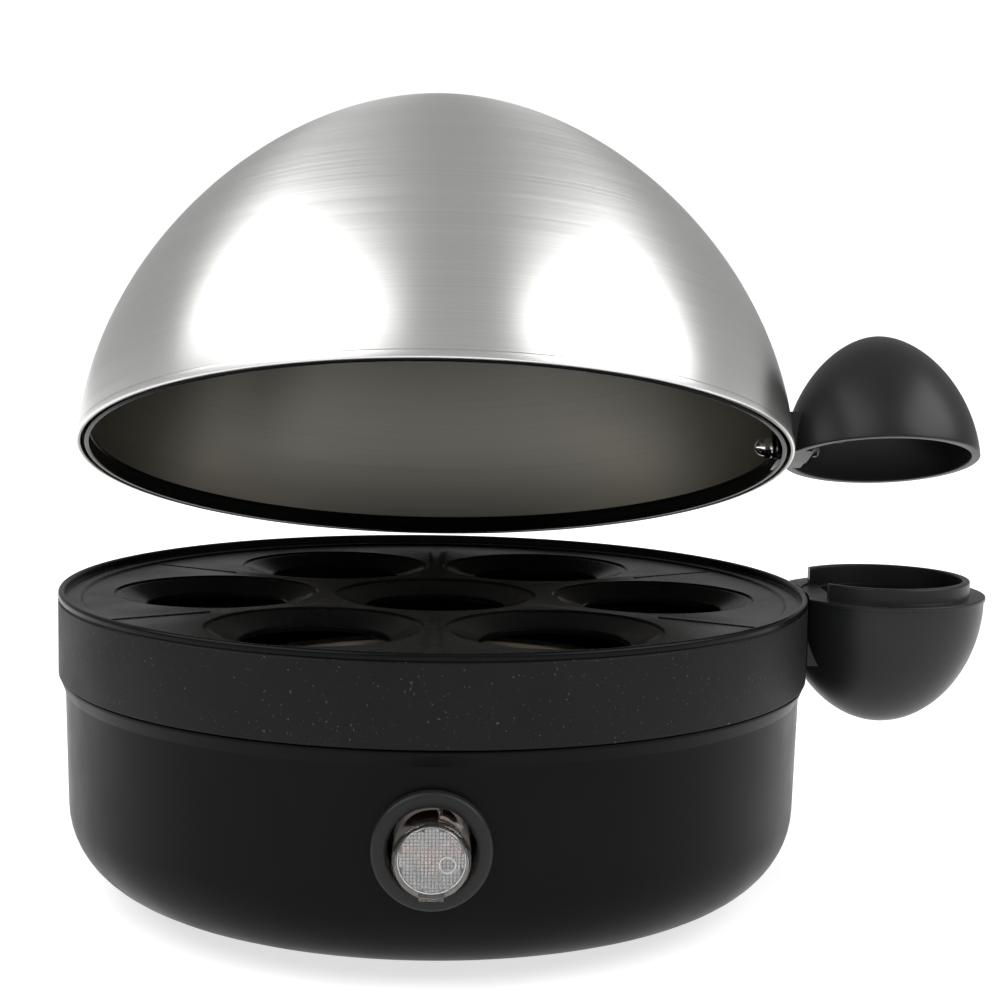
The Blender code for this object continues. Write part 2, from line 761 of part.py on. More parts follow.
def make_egg_tray():
    floor_top = TRAY_LEDGE_Z - LEDGE_STEP
    floor_under = floor_top - FLOOR_THICKNESS
    floor_radius = LIP_INNER_RADIUS - LEDGE_WIDTH
    skirt_radius = SHOULDER_RADIUS - WALL - 2 * GAP
    skirt_inner = skirt_radius - SKIRT_THICKNESS
    wall_inner = TRAY_RADIUS - TRAY_WALL
    web = TRAY_BOTTOM_Z + 3 * MM
    lip_top = TRAY_LEDGE_Z + LIP_HEIGHT
    lip_middle = (LIP_INNER_RADIUS + TRAY_RADIUS) / 2
    lip_round = (TRAY_RADIUS - LIP_INNER_RADIUS) / 2
    groove = 0.4 * MM
    seat_z = floor_top - SEAT_STEP
    hole_z = seat_z - SEAT_DROP
    seat_wall = 1.4 * MM
    seat_rim = 1.2 * MM
    profile = [
        (SEAT_HOLE_RADIUS, hole_z),
        (SEAT_RADIUS - seat_rim, seat_z),
        (SEAT_RADIUS, seat_z),
        (SEAT_RADIUS, floor_top),
        (floor_radius - LEDGE_STEP, floor_top),
        (floor_radius, TRAY_LEDGE_Z),
        (LIP_INNER_RADIUS, TRAY_LEDGE_Z),
        *arc((lip_middle, lip_top - lip_round), lip_round, 180, 0, 3),
        (TRAY_RADIUS, TRAY_LEDGE_Z + groove),
        (TRAY_RADIUS - groove, TRAY_LEDGE_Z),
        (TRAY_RADIUS, TRAY_LEDGE_Z - groove),
        (TRAY_RADIUS, TRAY_BOTTOM_Z),
        (skirt_radius, TRAY_BOTTOM_Z),
        (skirt_radius, TRAY_BOTTOM_Z - SKIRT_DEPTH),
        (skirt_inner, TRAY_BOTTOM_Z - SKIRT_DEPTH),
        (skirt_inner, web),
        (wall_inner, web + 2.4 * MM),
        (wall_inner, floor_under - MM),
        (wall_inner - MM, floor_under),
        (SEAT_RADIUS, floor_under),
        (SEAT_HOLE_RADIUS + seat_wall, hole_z - seat_wall),
        (SEAT_HOLE_RADIUS, hole_z - seat_wall),
    ]
    tray = add_part(turned(profile), "egg_tray", BLACK)

    boss_profile = [
        (0, floor_top - MM),
        (SEAT_RADIUS, floor_top - MM),
        (SEAT_RADIUS, floor_under - 0.1 * MM),
        (SEAT_HOLE_RADIUS + seat_wall, hole_z - seat_wall),
        (0, hole_z - seat_wall),
    ]
    seat_profile = [
        (0, floor_top + REACH),
        (SEAT_RADIUS, floor_top + REACH),
        (SEAT_RADIUS, seat_z),
        (SEAT_RADIUS - seat_rim, seat_z),
        (SEAT_HOLE_RADIUS, hole_z),
        (SEAT_HOLE_RADIUS, hole_z - REACH),
        (0, hole_z - REACH),
    ]
    places = around(OUTER_SEATS, SEAT_CIRCLE)
    for i, (x, y) in enumerate(places):
        boss = add_cutter(turned(boss_profile, SMALL_SEGMENTS), f"seat_boss_{i}")
        boss.location = (x, y, 0)
        join(tray, boss)
    for i, (x, y) in enumerate(places):
        seat = add_cutter(turned(seat_profile, SMALL_SEGMENTS), f"seat_cut_{i}")
        seat.location = (x, y, 0)
        cut(tray, seat)
    hole_radius = TRAY_FIXING_RADIUS + 2 * GAP
    for hole in handle_fixings("tray_fixing_hole", hole_radius, 85 * MM, TRAY_RADIUS + REACH):
        cut(tray, hole)


def handle_fixings(name, radius, low_x, high_x):
    """A cylinder along X at each of the tray handle's two screws."""
    found = []
    for side in (-1, 1):
        hole = add_cutter(cylinder(radius, low_x, high_x, TINY_SEGMENTS), f"{name}_{side + 1}")
        hole.location = (0, side * TRAY_FIXING_Y, TRAY_FIXING_Z)
        hole.rotation_euler.y = math.pi / 2
        found.append(hole)
    return found


def make_tray_handle():
    """The lower half of the egg handle: a cup with a raised lip, moulded to fit the tray ring."""
    lip_top = LEDGE_Z + CUP_LIP_HEIGHT
    hollow_radius = CUP_LIP_RADIUS - 2 * MM
    hollow_depth = CUP_DEPTH - 2.4 * MM
    profile = [
        *reversed(bowl(hollow_radius, hollow_depth, CUP_POWER, 8, LEDGE_Z)),
        (hollow_radius, lip_top),
        (CUP_LIP_RADIUS, lip_top),
        (CUP_LIP_RADIUS, LEDGE_Z),
        *bowl(CUP_RADIUS, CUP_DEPTH, CUP_POWER, 9, LEDGE_Z),
    ]
    cup = add_part(turned(profile, SMALL_SEGMENTS), "tray_handle", MATT_BLACK, HANDLE_AXIS)
    block_low = (TRAY_RADIUS - 3 * MM, -13 * MM, TRAY_FIXING_Z - 7 * MM)
    block_high = (TRAY_RADIUS + 6 * MM, 13 * MM, LEDGE_Z - 0.4 * MM)
    join(cup, add_cutter(box(block_low, block_high), "fixing_block"))
    ring_room = cylinder(TRAY_RADIUS + GAP, BOTTOM_Z, LEDGE_Z + 2 * REACH, SEGMENTS)
    cut(cup, add_cutter(ring_room, "ring_room"))
    lip_low = (80 * MM, -30 * MM, LEDGE_Z + 0.05 * MM)
    lip_high = (CUP_LIP_CUT_X, 30 * MM, lip_top + REACH)
    cut(cup, add_cutter(box(lip_low, lip_high), "lip_end"))
    hole_radius = TRAY_FIXING_RADIUS + GAP
    for hole in handle_fixings("cup_fixing_hole", hole_radius, 80 * MM, TRAY_RADIUS + 2 * REACH):
        cut(cup, hole)

    head_radius = 3 * MM
    head_edge = TRAY_FIXING_Y + head_radius
    head_x = math.sqrt((TRAY_RADIUS - TRAY_WALL) ** 2 - head_edge**2) - 2 * GAP
    profile = [
        (0, TRAY_RADIUS + 5.4 * MM),
        (TRAY_FIXING_RADIUS, TRAY_RADIUS + 5.4 * MM),
        (TRAY_FIXING_RADIUS, head_x),
        (head_radius, head_x),
        (head_radius, head_x - 1.4 * MM),
        (2.2 * MM, head_x - 2 * MM),
        (0, head_x - 2 * MM),
    ]
    for number, side in enumerate((-1, 1), start=1):
        screw = add_part(turned(profile, TINY_SEGMENTS), f"tray_handle_screw_{number}", BRIGHT)
        screw.location = (0, side * TRAY_FIXING_Y, TRAY_FIXING_Z)
        screw.rotation_euler.y = math.pi / 2


# ---- lid --------------------------------------------------------------------------------------


def on_lid(obj, height=0.0, x=0.0):
    """Puts a piece modelled round the lid's own axis, with its rim at 0, on the tilted hinge axis."""
    obj.parent = LID_AXIS
    obj.location = (x, -HINGE_Y, height)
    return obj


def lid_fixing_hole(name, low_x, high_x):
    """A cutter along the lid handle's screw, between two distances from the lid's axis."""
    hole = add_cutter(cylinder(LID_FIXING_RADIUS + GAP, low_x, high_x, TINY_SEGMENTS), name)
    on_lid(hole, FIXING_HEIGHT)
    hole.rotation_euler.y = math.pi / 2
    return hole


def make_lid_dome():
    steel = LID_RADIUS - BEAD_DEPTH
    base = BEAD_HEIGHT + GAP
    height = LID_HEIGHT - base
    outside = dome(steel, height, LID_POWER, 10, base)
    inside = dome(steel - LID_THICKNESS, height - LID_THICKNESS, LID_POWER, 8, base)
    profile = [
        *outside,
        (LID_RADIUS, BEAD_HEIGHT),
        (LID_RADIUS, 0),
        (steel - LID_THICKNESS, 0),
        *reversed(inside),
    ]
    lid = on_lid(add_part(turned(profile), "lid_dome", STEEL))
    cut(lid, lid_fixing_hole("dome_fixing_hole", 85 * MM, 98 * MM))


def make_lid_ring():
    """The black ring inside the rim, with a tab that the handle's nut pulls against."""
    inner = RING_RADIUS - RING_THICKNESS
    profile = [
        (RING_RADIUS, RING_HEIGHT),
        (RING_RADIUS, 0),
        (inner, 0),
        (inner, RING_HEIGHT),
    ]
    ring = on_lid(add_part(turned(profile), "lid_ring", BLACK))
    tab = box((inner - MM, -7 * MM, 0.2 * MM), (inner + 0.4 * MM, 7 * MM, 9.6 * MM))
    join(ring, on_lid(add_cutter(tab, "ring_tab")))
    cut(ring, lid_fixing_hole("ring_fixing_hole", 80 * MM, 98 * MM))


def make_lid_handle():
    """The upper half of the egg handle: a hollow cap with a pad that fits the dome."""
    outer = [*dome(CAP_RADIUS, CAP_HEIGHT, CAP_POWER, 9), (0, 0)]
    cap = add_part(turned(outer, SMALL_SEGMENTS), "lid_handle", MATT_BLACK)
    on_lid(cap, CAP_LIFT, HANDLE_X)
    hollow_radius = CAP_RADIUS - HANDLE_WALL
    hollow = [
        *dome(hollow_radius, CAP_HEIGHT - 2.4 * MM, CAP_POWER, 8),
        (hollow_radius, -REACH),
        (0, -REACH),
    ]
    hollow_cut = on_lid(add_cutter(turned(hollow, SMALL_SEGMENTS), "cap_hollow"), CAP_LIFT, HANDLE_X)
    cut(cap, hollow_cut)
    half = PAD_WIDTH / 2
    pad = box((86 * MM, -half, CAP_LIFT), (PAD_FACE_X, half, PAD_HEIGHT))
    join(cap, on_lid(add_cutter(pad, "handle_pad")))
    room = [
        *dome(LID_RADIUS + GAP, LID_HEIGHT + GAP, LID_POWER, 12),
        (LID_RADIUS + GAP, -REACH),
        (0, -REACH),
    ]
    cut(cap, on_lid(add_cutter(turned(room), "dome_room")))
    cut(cap, lid_fixing_hole("pad_fixing_hole", 80 * MM, PAD_FACE_X + REACH / 2))


def make_lid_fixings():
    """The slotted bracket inside the handle, and the screw and acorn nut that hold it to the dome."""
    sheet = BRACKET_THICKNESS
    face = PAD_FACE_X + GAP
    shelf = BRACKET_SHELF_HEIGHT
    half = BRACKET_WIDTH / 2
    slot_half = 1.4 * MM
    leg = box((face, -half, CAP_LIFT + MM), (face + sheet, half, shelf + sheet))
    bracket = on_lid(add_part(leg, "lid_handle_bracket", MATT_BLACK))
    tongue = box((face + sheet / 2, -half, shelf), (face + BRACKET_LENGTH, half, shelf + sheet))
    join(bracket, on_lid(add_cutter(tongue, "bracket_shelf")))
    for side in (-1, 1):
        middle = side * half / 2
        low = (face + 2.5 * MM, middle - slot_half, shelf - REACH)
        high = (face + BRACKET_LENGTH - 1.5 * MM, middle + slot_half, shelf + REACH)
        cut(bracket, on_lid(add_cutter(box(low, high), f"bracket_slot_{side + 1}")))
    cut(bracket, lid_fixing_hole("bracket_fixing_hole", face - REACH, face + REACH))

    ring_face = RING_RADIUS - RING_THICKNESS - MM
    nut_high = ring_face - GAP
    nut_low = nut_high - 4.6 * MM
    screw_end = nut_low + 2 * MM
    head = face + sheet + GAP
    head_radius = 2.5 * MM
    shank = LID_FIXING_RADIUS - 0.1 * MM
    profile = [
        (0, head + 1.5 * MM),
        (head_radius - 0.5 * MM, head + 1.5 * MM),
        (head_radius, head + MM),
        (head_radius, head),
        (shank, head),
        (shank, screw_end),
        (0, screw_end),
    ]
    screw = add_part(turned(profile, TINY_SEGMENTS), "lid_handle_screw", BRIGHT)
    on_lid(screw, FIXING_HEIGHT)
    profile = [
        (0, screw_end - GAP),
        (shank + GAP, screw_end - GAP),
        (shank + GAP, nut_high),
        (NUT_RADIUS, nut_high),
        (NUT_RADIUS, nut_high - 2.2 * MM),
        (NUT_RADIUS - 0.4 * MM, nut_high - 2.4 * MM),
        (2 * MM, nut_low + 0.7 * MM),
        (MM, nut_low + 0.1 * MM),
        (0, nut_low),
    ]
    nut = add_part(turned(profile, TINY_SEGMENTS), "lid_acorn_nut", BRIGHT)
    on_lid(nut, FIXING_HEIGHT)
    screw.rotation_euler.y = nut.rotation_euler.y = math.pi / 2


# ---- assembly ---------------------------------------------------------------------------------


def bake_shapes():
    """Turns every piece's modifiers into its mesh, smooth where it is round and sharp at its edges."""
    bpy.context.view_layer.update()
    graph = bpy.context.evaluated_depsgraph_get()
    baked = {}
    for obj in PARTS.objects:
        if obj.type == "MESH":
            baked[obj] = bpy.data.meshes.new_from_object(obj.evaluated_get(graph))
    for obj, mesh in baked.items():
        obj.modifiers.clear()
        obj.data = mesh
        mesh.name = obj.name
        mesh.shade_smooth()
        mesh.set_sharp_from_angle(angle=SHARP_ANGLE)


SWITCH_AXIS = add_axis("switch_axis", (0, 0, SWITCH_Z), (math.pi / 2, 0, 0))
INLET_AXIS = add_axis("inlet_axis", (0, 0, INLET_Z), (-math.pi / 2, 0, 0))
HANDLE_AXIS = add_axis("handle_axis", (HANDLE_X, 0, 0))
LID_AXIS = add_axis("lid_axis", (0, HINGE_Y, LID_Z), (-LID_TILT, 0, 0))

make_base_shell()
make_feet()
make_deck()
make_heating_plate()
make_plate_bracket()
make_thermostat()
make_heating_element()
make_switch()
make_button()
make_wiring()
make_egg_tray()
make_tray_handle()
make_lid_dome()
make_lid_ring()
make_lid_handle()
make_lid_fixings()
bake_shapes()
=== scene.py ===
"""Looks of the egg cooker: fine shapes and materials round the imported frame, a studio and a camera.

Metres, +Z up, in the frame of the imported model. Turned pieces are made round local Z, and then
stand on the main axis, the lid's tilted axis, the switch's axis or the handle's axis.
"""

import json
import math

import bmesh
import bpy
from mathutils import Matrix, Vector


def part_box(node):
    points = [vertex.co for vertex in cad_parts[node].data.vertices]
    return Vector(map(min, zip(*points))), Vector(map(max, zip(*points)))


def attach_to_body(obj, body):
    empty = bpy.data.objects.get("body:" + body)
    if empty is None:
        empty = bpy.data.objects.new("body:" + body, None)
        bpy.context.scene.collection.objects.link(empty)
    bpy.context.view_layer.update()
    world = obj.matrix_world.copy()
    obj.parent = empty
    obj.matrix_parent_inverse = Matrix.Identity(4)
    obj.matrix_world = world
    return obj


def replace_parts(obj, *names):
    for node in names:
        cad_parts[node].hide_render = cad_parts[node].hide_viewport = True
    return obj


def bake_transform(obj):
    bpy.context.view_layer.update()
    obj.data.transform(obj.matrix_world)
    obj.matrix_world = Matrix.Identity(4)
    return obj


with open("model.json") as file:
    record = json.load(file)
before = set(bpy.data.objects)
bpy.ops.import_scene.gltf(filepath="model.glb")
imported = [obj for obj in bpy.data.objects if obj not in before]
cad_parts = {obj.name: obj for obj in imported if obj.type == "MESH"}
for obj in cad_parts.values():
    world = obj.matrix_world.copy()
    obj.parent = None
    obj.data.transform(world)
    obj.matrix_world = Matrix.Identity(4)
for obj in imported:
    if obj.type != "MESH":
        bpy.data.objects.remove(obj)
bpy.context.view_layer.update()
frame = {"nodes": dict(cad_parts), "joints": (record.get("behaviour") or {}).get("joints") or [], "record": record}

RECORD = frame["record"]
BODIES = {node: body for body, nodes in RECORD["behaviour"]["bodies"].items() for node in nodes}
JOINTS = {joint["name"]: joint for joint in frame["joints"]}

MM = 0.001
GAP = 0.3 * MM
LARGE = 256  # sides of the large turned pieces
MEDIUM = 96  # sides of the seats, the handle and the switch
SMALL = 32  # sides of screws, nuts and feet
SHARP_ANGLE = math.radians(32)
LATITUDES = "latitudes"
STREAKS = (0.38, 0.62)  # the noise values between which brushing goes from dark to light
REACH = 8 * MM  # how far a cutter runs past the faces it cuts
WELD = 0.002 * MM
FINE = 0.1 * MM  # the roundings of most edges
EDGE = 0.2 * MM
SOFT = 0.3 * MM

# Base
FLOOR_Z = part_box("foot_1")[0].z
WALL = 2.2 * MM
BOTTOM_Z = 0.8 * MM
PAD_RADIUS = 45 * MM
EDGE_RADIUS = 20 * MM
RIM_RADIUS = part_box("base_shell")[1].x
BASE_TOP_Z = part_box("base_shell")[1].z
SHOULDER_RADIUS = RIM_RADIUS - 1.1 * MM
SHOULDER_Z = BASE_TOP_Z - 3.6 * MM
LOWER_RADIUS = 91.2 * MM  # where the wall meets the rounded edge
THROUGH_WALL = (70 * MM, 110 * MM)
SCREW_CIRCLE = 62 * MM
SCREW_TURN = 45  # degrees from the feet's places
FOOT_CIRCLE = 60 * MM
FOOT_RADIUS = 6.5 * MM
CORNERS = 4  # feet, and deck screws

# Deck, seal and heating plate
DECK_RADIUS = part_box("base_deck")[1].x
DECK_TOP_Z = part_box("base_deck")[1].z
DECK_UNDER_Z = DECK_TOP_Z - 2.2 * MM
DECK_OPENING = 57 * MM
PLATE_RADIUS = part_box("heating_plate")[1].x
PLATE_TOP_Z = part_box("heating_plate")[1].z
PLATE_THICKNESS = 0.8 * MM
DISH_RADIUS = 50 * MM
DISH_Z = PLATE_TOP_Z - 6.8 * MM
STUD_RADIUS = 2 * MM

# Egg tray
TRAY_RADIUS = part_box("egg_tray")[1].x
TRAY_TOP_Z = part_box("egg_tray")[1].z
SKIRT_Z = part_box("egg_tray")[0].z
TRAY_LEDGE_Z = TRAY_TOP_Z - 1.9 * MM
SEAM_Z = BASE_TOP_Z + GAP
FLOOR_TOP_Z = TRAY_LEDGE_Z - 0.7 * MM
FLOOR_UNDER_Z = FLOOR_TOP_Z - 1.8 * MM
TRAY_WALL = 2.4 * MM
LIP_INNER_RADIUS = 92.3 * MM
LEDGE_WIDTH = 3.7 * MM
SEAT_CIRCLE = 55.5 * MM
SEAT_RADIUS = 25.5 * MM
SEAT_HOLE_RADIUS = 17.5 * MM
SEAT_STEP = 0.5 * MM
SEAT_DROP = 2.5 * MM
OUTER_SEATS = 6

# Lid, whose hinge axis and tilt come from the joint
LID_HINGE = Vector(JOINTS["lid_tilt"]["pos_m"])
LID_TILT = math.radians(-JOINTS["lid_tilt"]["range_deg"][0])
LID_RADIUS = 90.6 * MM
LID_HEIGHT = 95.2 * MM
LID_POWER = 1.78
LID_THICKNESS = 0.65 * MM
BEAD_HEIGHT = 1.8 * MM
BEAD_DEPTH = 0.4 * MM
RING_RADIUS = LID_RADIUS - BEAD_DEPTH - LID_THICKNESS - 3 * GAP
RING_HEIGHT = 4.5 * MM
RING_THICKNESS = 1.2 * MM
FIXING_HEIGHT = 5 * MM
LID_SCREW_RADIUS = 1.5 * MM
THROUGH_RIM = (80 * MM, 98 * MM)

# Side handle
HANDLE_X = 114.2 * MM
HANDLE_WALL = 2.4 * MM  # at the two halves' ends
CUP_RADIUS = 26.2 * MM
CUP_DEPTH = 33.5 * MM
CUP_POWER = 1.95
CAP_RADIUS = 25.1 * MM
CAP_HEIGHT = 33 * MM
CAP_POWER = 1.8
CAP_LIFT = 1.7 * MM
CUP_LEDGE_Z = 73.3 * MM
CUP_LIP_HEIGHT = 3.8 * MM
CUP_LIP_RADIUS = 22.2 * MM
CUP_LIP_CUT_X = 98 * MM
TRAY_FIXING_Z = 63 * MM
TRAY_FIXING_Y = 8 * MM
PAD_FACE_X = 95 * MM

# Switch and inlet: distances along their axes are from the main axis
SWITCH_Z = 31.3 * MM
BEZEL_RADIUS = 13 * MM
BEZEL_FRONT = -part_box("switch_bezel")[0].y
BEZEL_BACK = -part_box("switch_bezel")[1].y
BEZEL_HOLE = 9.6 * MM
BUSH_RADIUS = 10.7 * MM
BUTTON_RADIUS = 8.3 * MM
PRISM_PITCH = 0.76 * MM
BUTTON_FRONT = -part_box("button_cap")[0].y
BUTTON_BACK = -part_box("button_cap")[1].y
INLET_Z = 30 * MM
GLAND_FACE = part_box("cord_gland")[1].y

# Camera and studio
CAMERA_DISTANCE = 0.5187  # from a point on the main axis, this far above the surface it stands on
CAMERA_AIM_HEIGHT = 0.06
CAMERA_ELEVATION = 0.1872
CAMERA_YAW = -0.0315
CAMERA_PITCH = -0.0720
CAMERA_ROLL = 0.0179
CAMERA_LENS = 72.81
AIM = (0, 0, 0.10)  # where the lights point
SOFTBOXES = {  # place, size and power
    "softbox_left": ((-0.70, -0.32, 0.90), (1.35, 0.70), 10.5),
    "softbox_right": ((0.81, -0.34, 0.80), (1.05, 0.70), 10),
    "fill_top": ((0, -0.10, 1.5), (1.4, 1.2), 9),
}
SEEN_WHITE = 1.05  # the world's strength where the camera sees it
REFLECTED_LOW = 0.36  # its strength in reflections, near the horizon and overhead
REFLECTED_HIGH = 0.46
FLOOR_GLOW_NEAR = 0.70  # the paper's own light, near the object and away from it
FLOOR_GLOW_FAR = 1.0


# ---- shapes ----


def rounded(corners, closed=True):
    """An outline whose (x, y, rounding) corners are arcs. An open outline keeps its two ends."""
    points = []
    count = len(corners)
    for i, (x, y, radius) in enumerate(corners):
        corner = Vector((x, y))
        if radius <= 0 or (not closed and i in (0, count - 1)):
            points.append((x, y))
            continue
        before = Vector(corners[i - 1][:2]) - corner
        after = Vector(corners[(i + 1) % count][:2]) - corner
        half = before.angle(after) / 2
        reach = min(radius / math.tan(half), 0.49 * before.length, 0.49 * after.length)
        radius = reach * math.tan(half)
        inward = (before.normalized() + after.normalized()).normalized()
        middle = corner + inward * radius / math.sin(half)
        start = corner + before.normalized() * reach - middle
        end = corner + after.normalized() * reach - middle
        turn = math.atan2(start.x * end.y - start.y * end.x, start.dot(end))
        steps = 4 if radius < 3 * MM else 14
        for step in range(steps + 1):
            arm = Matrix.Rotation(turn * step / steps, 2) @ start
            points.append(tuple(middle + arm))
    return points


def dome(radius, height, power, count, base=0.0):
    """Points from the top of a dome down to its rim.

    They stand where (r / radius) ** power + (z / height) ** power = 1.
    """
    points = []
    for i in range(count + 1):
        angle = math.pi / 2 * i / count
        across = radius * math.sin(angle) ** (2 / power)
        up = height * max(math.cos(angle), 0.0) ** (2 / power)
        points.append((across, base + up))
    points[-1] = (radius, base)
    return points


def channel(start, end, top, depth, slope):
    """Corners of a shallow channel in a flat top, from one radius out to another."""
    floor = top - depth
    inside = [(start + slope, floor, EDGE), (end - slope, floor, EDGE)]
    return [(start, top, FINE), *inside, (end, top, FINE)]


def bowl(radius, depth, power, count, base=0.0):
    """Points from the rim of a hanging bowl down to its lowest point, on the axis."""
    points = dome(radius, depth, power, count, base)
    return [(across, 2 * base - up) for across, up in reversed(points)]


def new_object(name, form):
    """An object from a bmesh, with its faces turned outwards."""
    bmesh.ops.recalc_face_normals(form, faces=form.faces)
    mesh = bpy.data.meshes.new(name)
    form.to_mesh(mesh)
    form.free()
    obj = bpy.data.objects.new(name, mesh)
    bpy.context.scene.collection.objects.link(obj)
    return obj


def turned(name, outline, segments=LARGE):
    """Turns (radius, height) points, or corners for rounded(), about local Z.

    An outline that starts on the axis also ends there. Any other is closed.
    """
    closed = outline[0][0] > 0
    if len(outline[0]) > 2:
        outline = rounded(outline, closed)
    form = bmesh.new()
    ring = [form.verts.new((radius, 0.0, height)) for radius, height in outline]
    following = ring[1:] + ring[:1] if closed else ring[1:]
    edges = [form.edges.new(pair) for pair in zip(ring, following)]
    bmesh.ops.spin(
        form,
        geom=ring + edges,
        axis=(0, 0, 1),
        cent=(0, 0, 0),
        steps=segments,
        angle=2 * math.pi,
        use_merge=True,
    )
    bmesh.ops.remove_doubles(form, verts=form.verts, dist=1e-7)
    return new_object(name, form)


def cylinder(name, radius, low, high, segments=MEDIUM):
    return turned(name, [(0, high), (radius, high), (radius, low), (0, low)], segments)


def bolt_hole(radius, low, high, place):
    """A cutter for a screw's hole, with clearance round the screw."""
    return placed(cylinder("hole", radius + GAP, low, high, SMALL), place)


def prism(name, outline, low, high):
    """A flat outline of (x, y) points, raised along local Z from low to high."""
    form = bmesh.new()
    face = form.faces.new([form.verts.new((x, y, low)) for x, y in outline])
    raised = bmesh.ops.extrude_face_region(form, geom=[face])["geom"]
    top = [item for item in raised if isinstance(item, bmesh.types.BMVert)]
    bmesh.ops.translate(form, vec=(0, 0, high - low), verts=top)
    return new_object(name, form)


def plate(low, high, rounding):
    """The outline of a rectangle with rounded corners, between two (x, y) corners."""
    (left, bottom), (right, top) = low, high
    corners = ((left, bottom), (right, bottom), (right, top), (left, top))
    return rounded([(*corner, rounding) for corner in corners])


def around(count, radius, start=0.0):
    """Places evenly spread round the main axis, the first at an angle in degrees from +X."""
    angles = [math.radians(start + 360 * i / count) for i in range(count)]
    return [Vector((radius * math.cos(angle), radius * math.sin(angle), 0)) for angle in angles]


def combine(obj, others, operation):
    """Joins other solids to the piece, or cuts them from it, and removes them."""
    for other in others:
        boolean = obj.modifiers.new(operation, "BOOLEAN")
        boolean.operation = operation
        boolean.object = other
    bake(obj)
    for other in others:
        bpy.data.objects.remove(other, do_unlink=True)
    return obj


def join(obj, *others):
    return combine(obj, others, "UNION")


def cut(obj, *others):
    return combine(obj, others, "DIFFERENCE")


def bake(obj):
    """Makes the object's modifiers part of its mesh."""
    bpy.context.view_layer.update()
    graph = bpy.context.evaluated_depsgraph_get()
    mesh = bpy.data.meshes.new_from_object(obj.evaluated_get(graph))
    obj.modifiers.clear()
    obj.data = mesh


def placed(obj, matrix):
    obj.matrix_world = matrix @ obj.matrix_world
    bpy.context.view_layer.update()
    return obj


def shifted(obj, place):
    return placed(obj, Matrix.Translation(place))


def soften(obj, width, angle=50):
    """Rounds the edges that a Boolean left sharp."""
    bevel = obj.modifiers.new("Soften", "BEVEL")
    bevel.width = width
    bevel.segments = 2
    bevel.limit_method = "ANGLE"
    bevel.angle_limit = math.radians(angle)
    bevel.use_clamp_overlap = True
    bake(obj)
    return obj


def weld(obj):
    """Closes the hairline gaps that a Boolean left between points that should be one."""
    form = bmesh.new()
    form.from_mesh(obj.data)
    bmesh.ops.remove_doubles(form, verts=form.verts, dist=WELD)
    bmesh.ops.dissolve_degenerate(form, edges=form.edges, dist=WELD)
    form.to_mesh(obj.data)
    form.free()


LID = (
    Matrix.Translation(LID_HINGE)
    @ Matrix.Rotation(-LID_TILT, 4, "X")
    @ Matrix.Translation((0, -LID_HINGE.y, 0))
)
SWITCH = Matrix.Translation((0, 0, SWITCH_Z)) @ Matrix.Rotation(math.pi / 2, 4, "X")
INLET = Matrix.Translation((0, 0, INLET_Z)) @ Matrix.Rotation(-math.pi / 2, 4, "X")
ALONG_X = Matrix.Rotation(math.pi / 2, 4, "Y")  # turns local Z to +X
CAP = LID @ Matrix.Translation((HANDLE_X, 0, CAP_LIFT))
LID_FIXING = LID @ Matrix.Translation((0, 0, FIXING_HEIGHT)) @ ALONG_X


def tray_fixing(side):
    return Matrix.Translation((0, side * TRAY_FIXING_Y, TRAY_FIXING_Z)) @ ALONG_X


def paint(obj, *materials):
    """Gives the object these materials in place of its own."""
    obj.data.materials.clear()
    for material in materials:
        obj.data.materials.append(material)


def stand_in(obj, node, material):
    """Finishes a piece and puts it in the place of a CAD node, on that node's body."""
    paint(obj, material)
    return show(obj, node)


def show(obj, node):
    """Like stand_in, for a piece that has its materials already."""
    attach(obj, BODIES[node])
    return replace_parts(obj, node)


def attach(obj, body):
    """Makes the piece's place part of its mesh, and puts it on a body."""
    obj.data.transform(obj.matrix_world)
    obj.matrix_world = Matrix.Identity(4)
    obj.data.shade_smooth()
    obj.data.set_sharp_from_angle(angle=SHARP_ANGLE)
    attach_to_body(obj, body)


# ---- materials ----


